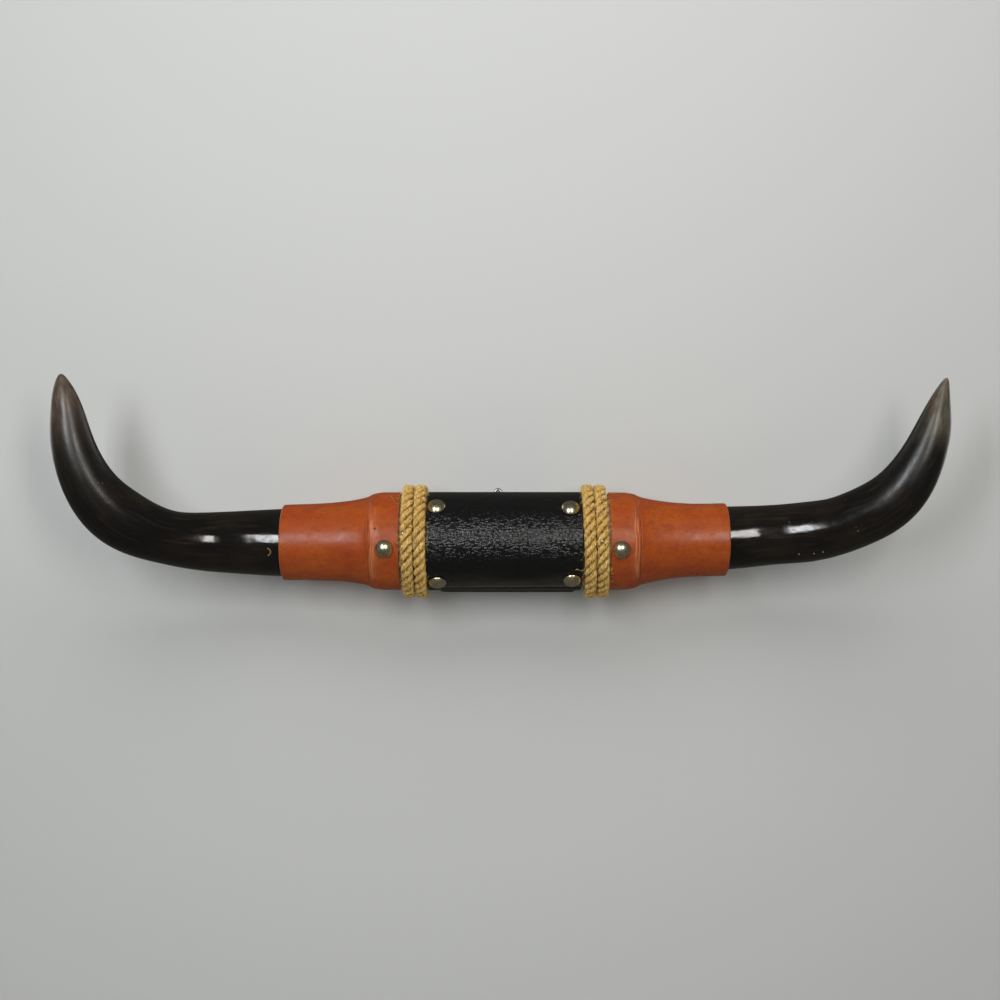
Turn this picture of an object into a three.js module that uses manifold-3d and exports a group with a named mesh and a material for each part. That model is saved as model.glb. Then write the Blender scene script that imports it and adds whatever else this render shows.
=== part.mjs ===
import * as THREE from "three";
import { mergeVertices } from "three/addons/utils/BufferGeometryUtils.js";
import Module from "manifold-3d";

// Steer horn plaque: two polished horns joined by a leather-covered wooden core on a small back board.
// Millimetres, +Z up, +X to the right of someone facing the wall, +Y into the wall.
// The origin is on the board's flat back, straight behind the axis of the core.

// Clear space left between pieces that touch, and how far a cutter reaches past the face that it opens.
const GAP = 0.3;
const CUT_REACH = 2;

// Core: a turned wooden bar with eased ends, planed to a flat seat behind the middle.
const AXIS_TO_WALL = 42;
const CORE_RADIUS = 32.2;
const CORE_HALF_LENGTH = 95.2;
const AXIS_TO_SEAT = 19.5;

// Black leather round the middle of the core. Angles are taken at the core's axis, from the front, upwards.
const WRAP_LEATHER = 2.8;
const WRAP_HALF_LENGTH = 54.8;
const WRAP_EDGE_ANGLE_LEFT = -67.5;
const WRAP_EDGE_ANGLE_RIGHT = -64;
const WRAP_LAP_ANGLE = 20;

// Tan leather over each end of the core and the base of the horn, lapped at the back.
const SLEEVE_LEATHER = 2.6;
const SLEEVE_START = 74.8;
const SLEEVE_END = 158.2;
const SLEEVE_EDGE_ANGLE = -164;
const SLEEVE_LAP_ANGLE = 22;

// Both ends of a lapped strip are thinned, the tucked one to a feather edge.
const FEATHER_EDGE = 0.3;
const THINNED_SHARE = 0.5;
const STEP_ANGLE = 12;
const CLIMB_ANGLE = 8;
const BURNISHED_EDGE = 0.9;

// Rope: two turns side by side on the bare core, with its ends tucked at the back.
const ROPE_HALF_WIDTH = 4.25;
const ROPE_HALF_HEIGHT = 4;
const ROPE_RING_RADIUS = 36.75;
const ROPE_CROSSING_ANGLE = 50;

// Round heads rise over these angles of a quarter circle, and points are this many shank radii long.
const DOME_RISES = [0, 28, 56];
const POINT_SLOPE = 2.4;

// Domed upholstery tacks, half an inch across.
const TACK_HEAD_RADIUS = 6.3;
const TACK_DOME_HEIGHT = 3.8;
const TACK_SHANK_RADIUS = 0.85;
const TACK_SHANK_LENGTH = 12;

// Back board, hung by a ring whose top stands just above the wrap.
const BOARD_LEFT = -50;
const BOARD_RIGHT = 54.4;
const BOARD_TOP = 30;
const BOARD_BOTTOM = -38.2;
const BOARD_CORNER_RADIUS = 6;
const BOARD_EASED_EDGE = 1.2;
const RECESS_HALF_WIDTH = 9.6;
const RECESS_BOTTOM = 7;
const RECESS_DEPTH = 4.4;
const HANGER_X = -4.7;

// Board screws, countersunk below the wall face.
const SCREW_X = 33;
const SCREW_Z = -6;
const SCREW_HEAD_RADIUS = 4.2;
const SCREW_HEAD_HEIGHT = 2.6;
const SCREW_SHANK_RADIUS = 2.1;
const SCREW_LENGTH = 36;
const SCREW_SINK = 0.6;
const SCREW_SLOT_WIDTH = 1;
const SCREW_SLOT_DEPTH = 1.2;

// Hanger: a wire ring, the folded strap that holds it and the strap's round-headed screw.
const WIRE_RADIUS = 0.9;
const RING_TOP = 38.5;
const RING_TOP_RADIUS = 2.1;
const RING_BAR_HALF = 7.4;
const RING_BAR_Z = 21;
const RING_CORNER = 1.8;
const RING_TO_WALL = 2.12;
const STRAP_HALF_WIDTH = 4.5;
const STRAP_THICKNESS = 0.8;
const STRAP_BOTTOM = 8.6;
const STRAP_HOOK_END = 17.5;
const STRAP_SCREW_Z = 12.6;
const STRAP_SCREW_HEAD_RADIUS = 2.9;
const STRAP_SCREW_HEAD_HEIGHT = 1.7;
const STRAP_SCREW_SHANK_RADIUS = 1.3;
const STRAP_SCREW_LENGTH = 12;
const STRAP_SCREW_SLOT = 0.8;

// What a sleeve covers: distance from the middle and radius, over the core and then over the horn's base.
const CORE_COVERED = [
  [SLEEVE_START, CORE_RADIUS],
  [88, CORE_RADIUS],
  [91.5, 31.6],
  [94.2, 30.5],
];
const CORE_END_RADIUS = 28.6;

// Each horn from the end of its sleeve to its tip: distance from the middle, forward of the core's axis,
// height, half width across the bend and half depth.
const SIDES = {
  left: {
    sign: -1,
    wrapTacks: { upper: { x: 47.9, angle: 44.6 }, lower: { x: 47.2, angle: -52.8 } },
    base: [
      [95.5, 28.7],
      [98, 28.8],
      [104, 27.3],
      [112, 26.2],
      [126, 25],
      [SLEEVE_END, 24.2],
    ],
    drift: { forward: 1.2, up: -1 },
    horn: [
      [158.2, 1.2, -1, 24.2, 24.2],
      [178.1, 2.6, -1, 23.2, 22.9],
      [197.1, 5.6, -0.7, 22, 21.4],
      [218.3, 13, 0.3, 20.4, 19.7],
      [235.9, 22.5, 3.2, 19.1, 18.4],
      [252.3, 33, 9.5, 20.1, 18.3],
      [266.1, 41.5, 18.5, 20.7, 18.1],
      [280.4, 50, 35.4, 18.6, 16.9],
      [289.7, 56.5, 57.4, 15.6, 14.7],
      [293.4, 59.5, 74.1, 13.5, 12.9],
      [295.3, 61.3, 89.8, 10.8, 10.4],
      [297.4, 62.5, 104, 6.9, 6.8],
      [298.4, 62.8, 110.7, 3.8, 3.8],
    ],
    tipLength: 3.9,
    rope: { middle: 64, spacing: 9.1, lean: -0.3, swing: 0 },
    tack: { x: 83.8, angle: -7 },
  },
  right: {
    sign: 1,
    wrapTacks: { upper: { x: 46.2, angle: 42.3 }, lower: { x: 47.4, angle: -48.8 } },
    base: [
      [95.5, 28.3],
      [98, 28.6],
      [105, 26.6],
      [114, 25],
      [130, 23.2],
      [SLEEVE_END, 22.6],
    ],
    drift: { forward: 1.8, up: 2.2 },
    horn: [
      [158.2, 1.8, 2.2, 22.6, 22.6],
      [177.1, 3.3, 3.5, 21.9, 21.5],
      [196.1, 6.6, 5, 21.3, 20.7],
      [215.5, 13.2, 7, 21.3, 20.2],
      [232.6, 21.8, 10.9, 20.3, 19.1],
      [245.4, 29.8, 16.3, 19.9, 18.2],
      [258.4, 38, 23.7, 19.6, 17.6],
      [270.6, 45.5, 34.9, 18.5, 16.7],
      [280.3, 51.5, 50.6, 16.4, 15.1],
      [286, 55, 64.4, 14.2, 13.4],
      [289.9, 57.3, 77.2, 12, 11.6],
      [294.5, 60.6, 98.8, 6.1, 6],
      [296.9, 61.6, 107.8, 2.9, 2.9],
    ],
    tipLength: 4.4,
    rope: { middle: 64.7, spacing: 9, lean: 1.1, swing: 0.9 },
    tack: { x: 81.2, angle: -8 },
  },
};

const HORN_SIDES = 18;
const HORN_RINGS = 19;
const TIP_RINGS = 3;
const TIP_ROUNDING_START = 38;
const TIP_ROUNDING_END = 82;
const STRIP_STEP_ANGLE = 15;
const CORE_SIDES = 30;
const TACK_SIDES = 14;
const SCREW_SIDES = 10;
const HOLE_SIDES = 8;
const WIRE_SIDES = 7;
const ROPE_SIDES = 8;
const ROPE_STEPS_PER_TURN = 22;
const RING_STEPS = 28;

const AXIS_Y = -AXIS_TO_WALL;
const X_AXIS = new THREE.Vector3(1, 0, 0);
const Y_AXIS = new THREE.Vector3(0, 1, 0);
const Z_AXIS = new THREE.Vector3(0, 0, 1);

const polishedHorn = { color: 0x211a16, roughness: 0.24, metalness: 0 };
const blackLeather = { color: 0x1b1918, roughness: 0.5, metalness: 0 };
const tanLeather = { color: 0x9c4a1c, roughness: 0.45, metalness: 0 };
const twistedRope = { color: 0xc8a35c, roughness: 0.9, metalness: 0 };
const nickel = { color: 0x9a958a, roughness: 0.28, metalness: 1 };
const brightSteel = { color: 0xc2c5c8, roughness: 0.25, metalness: 1 };
const plainWood = { color: 0x8d6238, roughness: 0.7, metalness: 0 };

const wasm = await Module();
wasm.setup();

// A closed solid for cutting, from any closed geometry.
function solidOf(geometry) {
  const bare = geometry.clone();
  bare.deleteAttribute("normal");
  bare.deleteAttribute("uv");
  const merged = mergeVertices(bare, 1e-3);
  const mesh = new wasm.Mesh({
    numProp: 3,
    vertProperties: merged.attributes.position.array,
    triVerts: new Uint32Array(merged.index.array),
  });
  return new wasm.Manifold(mesh);
}

// A geometry with each cutter taken out of it.
function cut(geometry, cutters) {
  let solid = solidOf(geometry);
  for (const cutter of cutters) solid = solid.subtract(solidOf(cutter));
  const mesh = solid.getMesh();
  const result = new THREE.BufferGeometry();
  result.setAttribute("position", new THREE.BufferAttribute(mesh.vertProperties, 3));
  result.setIndex(new THREE.BufferAttribute(mesh.triVerts, 1));
  return result;
}

// A point at a distance along the core, at a radius and an angle round its axis.
function roundAxis(x, radius, angle, centre = { forward: 0, up: 0 }) {
  const turn = THREE.MathUtils.degToRad(angle);
  const y = AXIS_Y - centre.forward - radius * Math.cos(turn);
  return new THREE.Vector3(x, y, centre.up + radius * Math.sin(turn));
}

// A value on straight lines between [place, value] pairs.
function onLines(place, pairs) {
  const next = pairs.findIndex(([at]) => at >= place);
  if (next <= 0) return pairs.at(next)[1];
  const [from, low] = pairs[next - 1];
  const [to, high] = pairs[next];
  return low + ((high - low) * (place - from)) / (to - from);
}

// The key places with even steps filled in between them, as many as the usual key places need.
function filledIn(keys, usualKeys, largestStep) {
  const places = [keys[0]];
  for (let i = 1; i < keys.length; i += 1) {
    const span = keys[i] - keys[i - 1];
    const steps = Math.ceil((usualKeys[i] - usualKeys[i - 1]) / largestStep);
    for (let step = 1; step <= steps; step += 1) places.push(keys[i - 1] + (span * step) / steps);
  }
  return places;
}

// A skin over rings of equal point counts, closed at both ends by the given triangles of one ring.
function loft(rings, endTriangles) {
  const count = rings[0].length;
  const index = [];
  for (let i = 0; i < rings.length - 1; i += 1) {
    for (let j = 0; j < count; j += 1) {
      const here = i * count + j;
      const beside = i * count + ((j + 1) % count);
      index.push(here, beside, here + count, beside, beside + count, here + count);
    }
  }
  const last = (rings.length - 1) * count;
  for (const [a, b, c] of endTriangles) {
    index.push(a, c, b);
    index.push(last + a, last + b, last + c);
  }
  const geometry = new THREE.BufferGeometry().setFromPoints(rings.flat());
  geometry.setIndex(index);
  if (solidOf(geometry).volume() < 0) geometry.setIndex(index.reverse());
  return geometry;
}

// Triangles that close a convex ring.
function fanEnd(count) {
  return Array.from({ length: count - 2 }, (_, i) => [0, i + 1, i + 2]);
}

// Triangles that close a ring which runs along the outside of a strip and back along its inside.
function stripEnd(count) {
  const triangles = [];
  for (let j = 0; j < count / 2 - 1; j += 1) {
    const back = count - 1 - j;
    triangles.push([j, j + 1, back], [j + 1, back - 1, back]);
  }
  return triangles;
}

// The places round a strip of leather, from its tucked end once round to its outer edge, each with how far
// its inside and its outside stand off what it covers. The skew is how far this end of the strip is turned
// from its usual place, so that both ends get as many places.
function lappedStrip(edgeAngle, lap, leather, corners = [], skew = 0) {
  const thinned = leather * THINNED_SHARE;
  const end = 360 + lap;
  const outside = [[0, FEATHER_EDGE], [lap, thinned], [lap + STEP_ANGLE, leather], [end, leather]];
  const inside = [[0, 0], [360 - CLIMB_ANGLE, 0], [360, FEATHER_EDGE + GAP], [end, thinned + GAP]];
  const keysAt = (shift) => {
    const travels = [...outside, ...inside].map(([travel]) => travel);
    const moved = corners.map((travel) => travel - shift);
    return [...new Set([...travels, ...moved])].sort((a, b) => a - b);
  };
  const travels = filledIn(keysAt(0), keysAt(skew), STRIP_STEP_ANGLE);
  return travels.map((travel) => ({
    angle: edgeAngle + lap - travel,
    inner: onLines(travel, inside),
    outer: onLines(travel, outside),
  }));
}

// One ring of a strip: along its outside, then back along its inside.
function stripRing(strip, x, radiusAt, shave, centre) {
  const at = (angle, grown) => roundAxis(x, radiusAt(angle, grown), angle, centre);
  const outside = strip.map(({ angle, outer }) => at(angle, outer - shave));
  const inside = strip.map(({ angle, inner }) => at(angle, inner));
  return outside.concat(inside.reverse());
}

// A solid turned about its own Y from [radius, height] pairs.
function turned(profile, sides) {
  const points = profile.map(([radius, along]) => new THREE.Vector2(radius, along));
  return new THREE.LatheGeometry(points, sides);
}

// Turned geometry laid on a line: its own Y goes to the direction and its zero to the point.
function laidOn(geometry, point, direction) {
  const turn = new THREE.Quaternion().setFromUnitVectors(Y_AXIS, direction);
  geometry.applyQuaternion(turn);
  return geometry.translate(point.x, point.y, point.z);
}

// A straight hole's cutter, open end up, its mouth at zero.
function boreGeometry(radius, length, sides) {
  return turned([[0, -length], [radius, -length], [radius, CUT_REACH], [0, CUT_REACH]], sides);
}

// The outline of a round head, from its rim to its crown.
function domeProfile(radius, height) {
  const rises = DOME_RISES.map((rise) => THREE.MathUtils.degToRad(rise));
  return [...rises.map((rise) => [radius * Math.cos(rise), height * Math.sin(rise)]), [0, height]];
}

// The outline of a pointed shank, from its point to its upper end at zero.
function shankProfile(radius, length) {
  return [[0, -length], [radius, -length + radius * POINT_SLOPE], [radius, 0]];
}

// A block between two opposite corners.
function box(low, high) {
  const size = high.map((value, axis) => value - low[axis]);
  const middle = high.map((value, axis) => (value + low[axis]) / 2);
  return new THREE.BoxGeometry(...size).translate(...middle);
}

// Radius of the core's section, round in front and flat behind, grown by a distance.
function seatedRadius(angle, grown) {
  const backward = -Math.cos(THREE.MathUtils.degToRad(angle));
  const round = CORE_RADIUS + GAP + grown;
  const flat = AXIS_TO_SEAT + GAP + grown;
  return backward * round > flat ? flat / backward : round;
}

// The angle from the front at which the round meets the flat, for a section grown by a distance.
function seatCorner(grown) {
  const flat = AXIS_TO_SEAT + GAP + grown;
  return THREE.MathUtils.radToDeg(Math.acos(-flat / (CORE_RADIUS + GAP + grown)));
}

function tackGeometry() {
  const shank = shankProfile(TACK_SHANK_RADIUS, TACK_SHANK_LENGTH);
  return turned([...shank, ...domeProfile(TACK_HEAD_RADIUS, TACK_DOME_HEIGHT)], TACK_SIDES);
}

// Where a tack sits: the point under its head and the way it points out.
function tackSeat(x, angle, leather) {
  const point = roundAxis(x, CORE_RADIUS + leather + 2 * GAP, angle);
  const foot = roundAxis(x, 0, angle);
  return { point, direction: point.clone().sub(foot).normalize() };
}

function tackHole({ point, direction }) {
  const bore = boreGeometry(TACK_SHANK_RADIUS + GAP, TACK_SHANK_LENGTH + GAP, HOLE_SIDES);
  return laidOn(bore, point, direction);
}

// The outline of a countersunk screw, from its point to the rim of its head at zero, grown by a distance.
function screwProfile(grown) {
  return [
    [0, -SCREW_LENGTH - grown],
    [SCREW_SHANK_RADIUS + grown, -SCREW_LENGTH + SCREW_SHANK_RADIUS * POINT_SLOPE],
    [SCREW_SHANK_RADIUS + grown, -SCREW_HEAD_HEIGHT],
    [SCREW_HEAD_RADIUS + grown, 0],
  ];
}

function screwHole(head) {
  const mouth = [[SCREW_HEAD_RADIUS + GAP, CUT_REACH], [0, CUT_REACH]];
  return laidOn(turned([...screwProfile(GAP), ...mouth], SCREW_SIDES), head, Y_AXIS);
}

// A straight screwdriver slot across a head whose top is at zero.
function slotAcross(radius, depth, width) {
  return box([-radius - CUT_REACH, -depth, -width / 2], [radius + CUT_REACH, CUT_REACH, width / 2]);
}

function boardScrewGeometry() {
  const slot = slotAcross(SCREW_HEAD_RADIUS, SCREW_SLOT_DEPTH, SCREW_SLOT_WIDTH);
  return cut(turned([...screwProfile(0), [0, 0]], SCREW_SIDES), [slot]);
}

function hangerScrewGeometry() {
  const shank = shankProfile(STRAP_SCREW_SHANK_RADIUS, STRAP_SCREW_LENGTH);
  const head = domeProfile(STRAP_SCREW_HEAD_RADIUS, STRAP_SCREW_HEAD_HEIGHT);
  const slot = slotAcross(STRAP_SCREW_HEAD_RADIUS, STRAP_SCREW_SLOT, STRAP_SCREW_SLOT);
  return cut(turned([...shank, ...head], SCREW_SIDES), [slot.translate(0, STRAP_SCREW_HEAD_HEIGHT, 0)]);
}

const group = new THREE.Group();

function addPiece(name, geometry, finish) {
  const mesh = new THREE.Mesh(geometry, new THREE.MeshStandardMaterial(finish));
  mesh.name = name;
  group.add(mesh);
}

// How far the line of a horn's base has drifted from the core's axis, at a distance from the middle.
function driftAt(side, along) {
  const share = Math.max(0, (along - CORE_HALF_LENGTH) / (SLEEVE_END - CORE_HALF_LENGTH));
  return { forward: side.drift.forward * share ** 2, up: side.drift.up * share };
}

// One ring of a horn across its line: an oval with its own half width and half depth.
function hornRing(centre, tangent, across, deep) {
  const outward = new THREE.Vector3().crossVectors(tangent, Y_AXIS).normalize();
  const forward = new THREE.Vector3().crossVectors(outward, tangent).normalize();
  return Array.from({ length: HORN_SIDES }, (_, i) => {
    const turn = (2 * Math.PI * i) / HORN_SIDES;
    return centre
      .clone()
      .addScaledVector(outward, across * Math.cos(turn))
      .addScaledVector(forward, deep * Math.sin(turn));
  });
}

function hornGeometry(side) {
  const rings = side.base.map(([along, radius]) => {
    const centre = roundAxis(side.sign * along, 0, 0, driftAt(side, along));
    return hornRing(centre, X_AXIS.clone().multiplyScalar(side.sign), radius, radius);
  });
  const centres = side.horn.map(([x, forward, up]) => roundAxis(side.sign * x, 0, 0, { forward, up }));
  const girths = side.horn.map(([, , , across, deep]) => new THREE.Vector3(across, deep, 0));
  const path = new THREE.CatmullRomCurve3(centres, false, "centripetal");
  const girth = new THREE.CatmullRomCurve3(girths, false, "catmullrom", 0.5);
  for (let i = 1; i <= HORN_RINGS; i += 1) {
    const place = i / HORN_RINGS;
    const { x: across, y: deep } = girth.getPoint(place);
    rings.push(hornRing(path.getPoint(place), path.getTangent(place), across, deep));
  }
  const tip = path.getPoint(1);
  const tangent = path.getTangent(1);
  const start = THREE.MathUtils.degToRad(TIP_ROUNDING_START);
  const turnStep = THREE.MathUtils.degToRad(TIP_ROUNDING_END - TIP_ROUNDING_START) / TIP_RINGS;
  const tipReach = side.tipLength / (1 - Math.sin(start));
  const tipRadius = side.horn.at(-1)[3] / Math.cos(start);
  for (let i = 1; i <= TIP_RINGS; i += 1) {
    const turn = start + turnStep * i;
    const centre = tip.clone().addScaledVector(tangent, tipReach * (Math.sin(turn) - Math.sin(start)));
    const radius = tipRadius * Math.cos(turn);
    rings.push(hornRing(centre, tangent, radius, radius));
  }
  return loft(rings, fanEnd(HORN_SIDES));
}

function sleeveGeometry(side) {
  const strip = lappedStrip(SLEEVE_EDGE_ANGLE, SLEEVE_LAP_ANGLE, SLEEVE_LEATHER);
  const beforeEnd = [SLEEVE_END - BURNISHED_EDGE, side.base.at(-1)[1]];
  const stations = [...CORE_COVERED, ...side.base.slice(0, -1), beforeEnd, side.base.at(-1)];
  const rings = stations.map(([along, covered]) => {
    const radiusAt = (_, grown) => covered + GAP + grown;
    const shave = along === SLEEVE_END ? BURNISHED_EDGE : 0;
    return stripRing(strip, side.sign * along, radiusAt, shave, driftAt(side, along));
  });
  return loft(rings, stripEnd(rings[0].length));
}

// The wrap's outer edge runs a little askew, so each end of the wrap has its own edge angle.
function wrapGeometry() {
  const usualEdgeAngle = (WRAP_EDGE_ANGLE_LEFT + WRAP_EDGE_ANGLE_RIGHT) / 2;
  const rings = [-WRAP_HALF_LENGTH, WRAP_HALF_LENGTH].map((x) => {
    const edgeAngle = x < 0 ? WRAP_EDGE_ANGLE_LEFT : WRAP_EDGE_ANGLE_RIGHT;
    const skew = edgeAngle - usualEdgeAngle;
    const corners = [seatCorner(0), seatCorner(WRAP_LEATHER)].flatMap((corner) => [
      edgeAngle + WRAP_LAP_ANGLE + corner,
      edgeAngle + WRAP_LAP_ANGLE + 360 - corner,
    ]);
    const strip = lappedStrip(edgeAngle, WRAP_LAP_ANGLE, WRAP_LEATHER, corners, skew);
    return stripRing(strip, x, seatedRadius, 0);
  });
  return loft(rings, stripEnd(rings[0].length));
}

// An oval of the given half width and half height, with corners at both ends of its width.
function ovalSection(halfWidth, halfHeight, sides) {
  const points = Array.from({ length: sides }, (_, i) => {
    const turn = (2 * Math.PI * i) / sides;
    return new THREE.Vector2(halfWidth * Math.cos(turn), halfHeight * Math.sin(turn));
  });
  return new THREE.Shape(points);
}

// The rope's line: round once on the inner ring, over to the outer ring behind the core, and round again.
function ropeGeometry(side) {
  const { middle, spacing, lean, swing } = side.rope;
  const start = ROPE_CROSSING_ANGLE / 2;
  const end = 720 - ROPE_CROSSING_ANGLE / 2;
  const steps = Math.round((ROPE_STEPS_PER_TURN * (end - start)) / 360);
  const points = Array.from({ length: steps + 1 }, (_, i) => {
    const travel = start + ((end - start) * i) / steps;
    const crossed = THREE.MathUtils.smoothstep(travel, 360 - start, 360 + start);
    const turn = THREE.MathUtils.degToRad(travel);
    const skew = lean * Math.sin(turn) + swing * Math.cos(turn);
    const along = middle + spacing * (crossed - 0.5) + skew;
    return roundAxis(side.sign * along, ROPE_RING_RADIUS, 180 + travel);
  });
  const section = ovalSection(ROPE_HALF_WIDTH, ROPE_HALF_HEIGHT, ROPE_SIDES);
  const extrudePath = new THREE.CatmullRomCurve3(points);
  return new THREE.ExtrudeGeometry(section, { steps, extrudePath });
}

function coreGeometry(holes) {
  const half = [
    [CORE_END_RADIUS, CORE_HALF_LENGTH],
    ...CORE_COVERED.slice(1).map(([along, radius]) => [radius, along]).reverse(),
  ];
  const profile = [
    [0, -CORE_HALF_LENGTH],
    ...half.map(([radius, along]) => [radius, -along]),
    ...half.toReversed(),
    [0, CORE_HALF_LENGTH],
  ];
  const bar = laidOn(turned(profile, CORE_SIDES), roundAxis(0, 0, 0), X_AXIS);
  const seatHalf = WRAP_HALF_LENGTH + GAP;
  const seat = box(
    [-seatHalf, AXIS_Y + AXIS_TO_SEAT, -CORE_RADIUS - CUT_REACH],
    [seatHalf, 0, CORE_RADIUS + CUT_REACH],
  );
  return cut(bar, [seat, ...holes]);
}

function boardGeometry(holes) {
  const thickness = AXIS_TO_WALL - AXIS_TO_SEAT - WRAP_LEATHER - 2 * GAP;
  const r = BOARD_CORNER_RADIUS;
  const left = BOARD_LEFT + BOARD_EASED_EDGE + r;
  const right = BOARD_RIGHT - BOARD_EASED_EDGE - r;
  const top = BOARD_TOP - BOARD_EASED_EDGE - r;
  const bottom = BOARD_BOTTOM + BOARD_EASED_EDGE + r;
  const outline = new THREE.Shape();
  outline.absarc(right, top, r, 0, Math.PI / 2);
  outline.absarc(left, top, r, Math.PI / 2, Math.PI);
  outline.absarc(left, bottom, r, Math.PI, 1.5 * Math.PI);
  outline.absarc(right, bottom, r, 1.5 * Math.PI, 2 * Math.PI);
  const board = new THREE.ExtrudeGeometry(outline, {
    depth: thickness - 2 * BOARD_EASED_EDGE,
    bevelThickness: BOARD_EASED_EDGE,
    bevelSize: BOARD_EASED_EDGE,
    bevelSegments: 2,
    curveSegments: 3,
  });
  board.translate(0, 0, BOARD_EASED_EDGE).rotateX(Math.PI / 2);
  const recess = box(
    [HANGER_X - RECESS_HALF_WIDTH, -RECESS_DEPTH, RECESS_BOTTOM],
    [HANGER_X + RECESS_HALF_WIDTH, CUT_REACH, BOARD_TOP + CUT_REACH],
  );
  return cut(board, [recess, ...holes]);
}

// The ring's wire starts and ends in the middle of its straight bar, inside the strap. Its two sides lean
// together, and its corners and its top are rounded.
function ringGeometry() {
  const at = (x, z) => new THREE.Vector3(HANGER_X + x, -RING_TO_WALL, z);
  const topZ = RING_TOP - WIRE_RADIUS;
  const shoulderZ = topZ - RING_TOP_RADIUS;
  const slope = (RING_BAR_HALF - RING_TOP_RADIUS) / (shoulderZ - RING_BAR_Z);
  const half = (hand) => {
    const corner = at(hand * RING_BAR_HALF, RING_BAR_Z);
    const beforeCorner = at(hand * (RING_BAR_HALF - RING_CORNER), RING_BAR_Z);
    const afterCorner = at(hand * (RING_BAR_HALF - RING_CORNER * slope), RING_BAR_Z + RING_CORNER);
    const shoulder = at(hand * RING_TOP_RADIUS, shoulderZ);
    const peak = at(hand * RING_TOP_RADIUS * (1 - slope), topZ);
    return [
      new THREE.LineCurve3(at(hand * GAP, RING_BAR_Z), beforeCorner),
      new THREE.QuadraticBezierCurve3(beforeCorner, corner, afterCorner),
      new THREE.LineCurve3(afterCorner, shoulder),
      new THREE.QuadraticBezierCurve3(shoulder, peak, at(0, topZ)),
    ];
  };
  const path = new THREE.CurvePath();
  path.curves = [...half(1), ...half(-1).reverse().map(reversed)];
  const wire = ovalSection(WIRE_RADIUS, WIRE_RADIUS, WIRE_SIDES);
  return new THREE.ExtrudeGeometry(wire, { steps: RING_STEPS, extrudePath: path });
}

// The same line or arc run the other way.
function reversed(curve) {
  if (curve.isLineCurve3) return new THREE.LineCurve3(curve.v2, curve.v1);
  return new THREE.QuadraticBezierCurve3(curve.v2, curve.v1, curve.v0);
}

// The strap lies on the recess floor, rolls over the ring's bar and ends in a short hook behind it.
function strapGeometry(holes) {
  const inner = WIRE_RADIUS + GAP;
  const outer = inner + STRAP_THICKNESS;
  const outline = new THREE.Shape();
  outline.moveTo(-outer, STRAP_BOTTOM);
  outline.lineTo(-outer, RING_BAR_Z);
  outline.absarc(0, RING_BAR_Z, outer, Math.PI, 0, true);
  outline.lineTo(outer, STRAP_HOOK_END);
  outline.lineTo(inner, STRAP_HOOK_END);
  outline.lineTo(inner, RING_BAR_Z);
  outline.absarc(0, RING_BAR_Z, inner, 0, Math.PI, false);
  outline.lineTo(-inner, STRAP_BOTTOM);
  const strap = new THREE.ExtrudeGeometry(outline, {
    depth: 2 * STRAP_HALF_WIDTH,
    bevelEnabled: false,
    curveSegments: 6,
  });
  // Outline x runs to the wall, outline y runs up, and the extrusion runs along the core.
  strap.applyMatrix4(new THREE.Matrix4().makeBasis(Y_AXIS, Z_AXIS, X_AXIS));
  strap.translate(HANGER_X - STRAP_HALF_WIDTH, -RING_TO_WALL, 0);
  return cut(strap, holes);
}

const tacks = [
  ["tack_wrap_upper_left", SIDES.left, SIDES.left.wrapTacks.upper, WRAP_LEATHER],
  ["tack_wrap_upper_right", SIDES.right, SIDES.right.wrapTacks.upper, WRAP_LEATHER],
  ["tack_wrap_lower_left", SIDES.left, SIDES.left.wrapTacks.lower, WRAP_LEATHER],
  ["tack_wrap_lower_right", SIDES.right, SIDES.right.wrapTacks.lower, WRAP_LEATHER],
  ["tack_sleeve_left", SIDES.left, SIDES.left.tack, SLEEVE_LEATHER],
  ["tack_sleeve_right", SIDES.right, SIDES.right.tack, SLEEVE_LEATHER],
].map(([name, side, { x, angle }, leather]) => ({ name, seat: tackSeat(side.sign * x, angle, leather) }));
const tackHoles = tacks.map(({ seat }) => tackHole(seat));
const [leftSleeveHole, rightSleeveHole] = tackHoles.slice(-2);

const screwHeads = [-SCREW_X, SCREW_X].map((x) => new THREE.Vector3(x, -SCREW_SINK, SCREW_Z));
const screwHoles = screwHeads.map((head) => screwHole(head));

const strapFront = -RECESS_DEPTH + GAP + STRAP_THICKNESS;
const strapScrewHead = new THREE.Vector3(HANGER_X, strapFront + GAP, STRAP_SCREW_Z);
const strapScrewBore = boreGeometry(STRAP_SCREW_SHANK_RADIUS + GAP, STRAP_SCREW_LENGTH + GAP, SCREW_SIDES);
const strapScrewHole = laidOn(strapScrewBore, strapScrewHead, Y_AXIS);

addPiece("core", coreGeometry([...tackHoles, ...screwHoles]), plainWood);
addPiece("back_board", boardGeometry([...screwHoles, strapScrewHole]), plainWood);
addPiece("center_wrap", cut(wrapGeometry(), [...tackHoles.slice(0, 4), ...screwHoles]), blackLeather);
addPiece("sleeve_left", cut(sleeveGeometry(SIDES.left), [leftSleeveHole]), tanLeather);
addPiece("sleeve_right", cut(sleeveGeometry(SIDES.right), [rightSleeveHole]), tanLeather);
for (const [hand, side] of Object.entries(SIDES)) {
  addPiece(`horn_${hand}`, hornGeometry(side), polishedHorn);
  addPiece(`rope_${hand}`, ropeGeometry(side), twistedRope);
}
for (const { name, seat } of tacks) {
  addPiece(name, laidOn(tackGeometry(), seat.point, seat.direction), nickel);
}
["left", "right"].forEach((hand, i) => {
  addPiece(`board_screw_${hand}`, laidOn(boardScrewGeometry(), screwHeads[i], Y_AXIS), brightSteel);
});
addPiece("hanger_ring", ringGeometry(), brightSteel);
addPiece("hanger_strap", strapGeometry([strapScrewHole]), brightSteel);
addPiece("hanger_screw", laidOn(hangerScrewGeometry(), strapScrewHead, Y_AXIS), brightSteel);

export default group;
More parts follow.
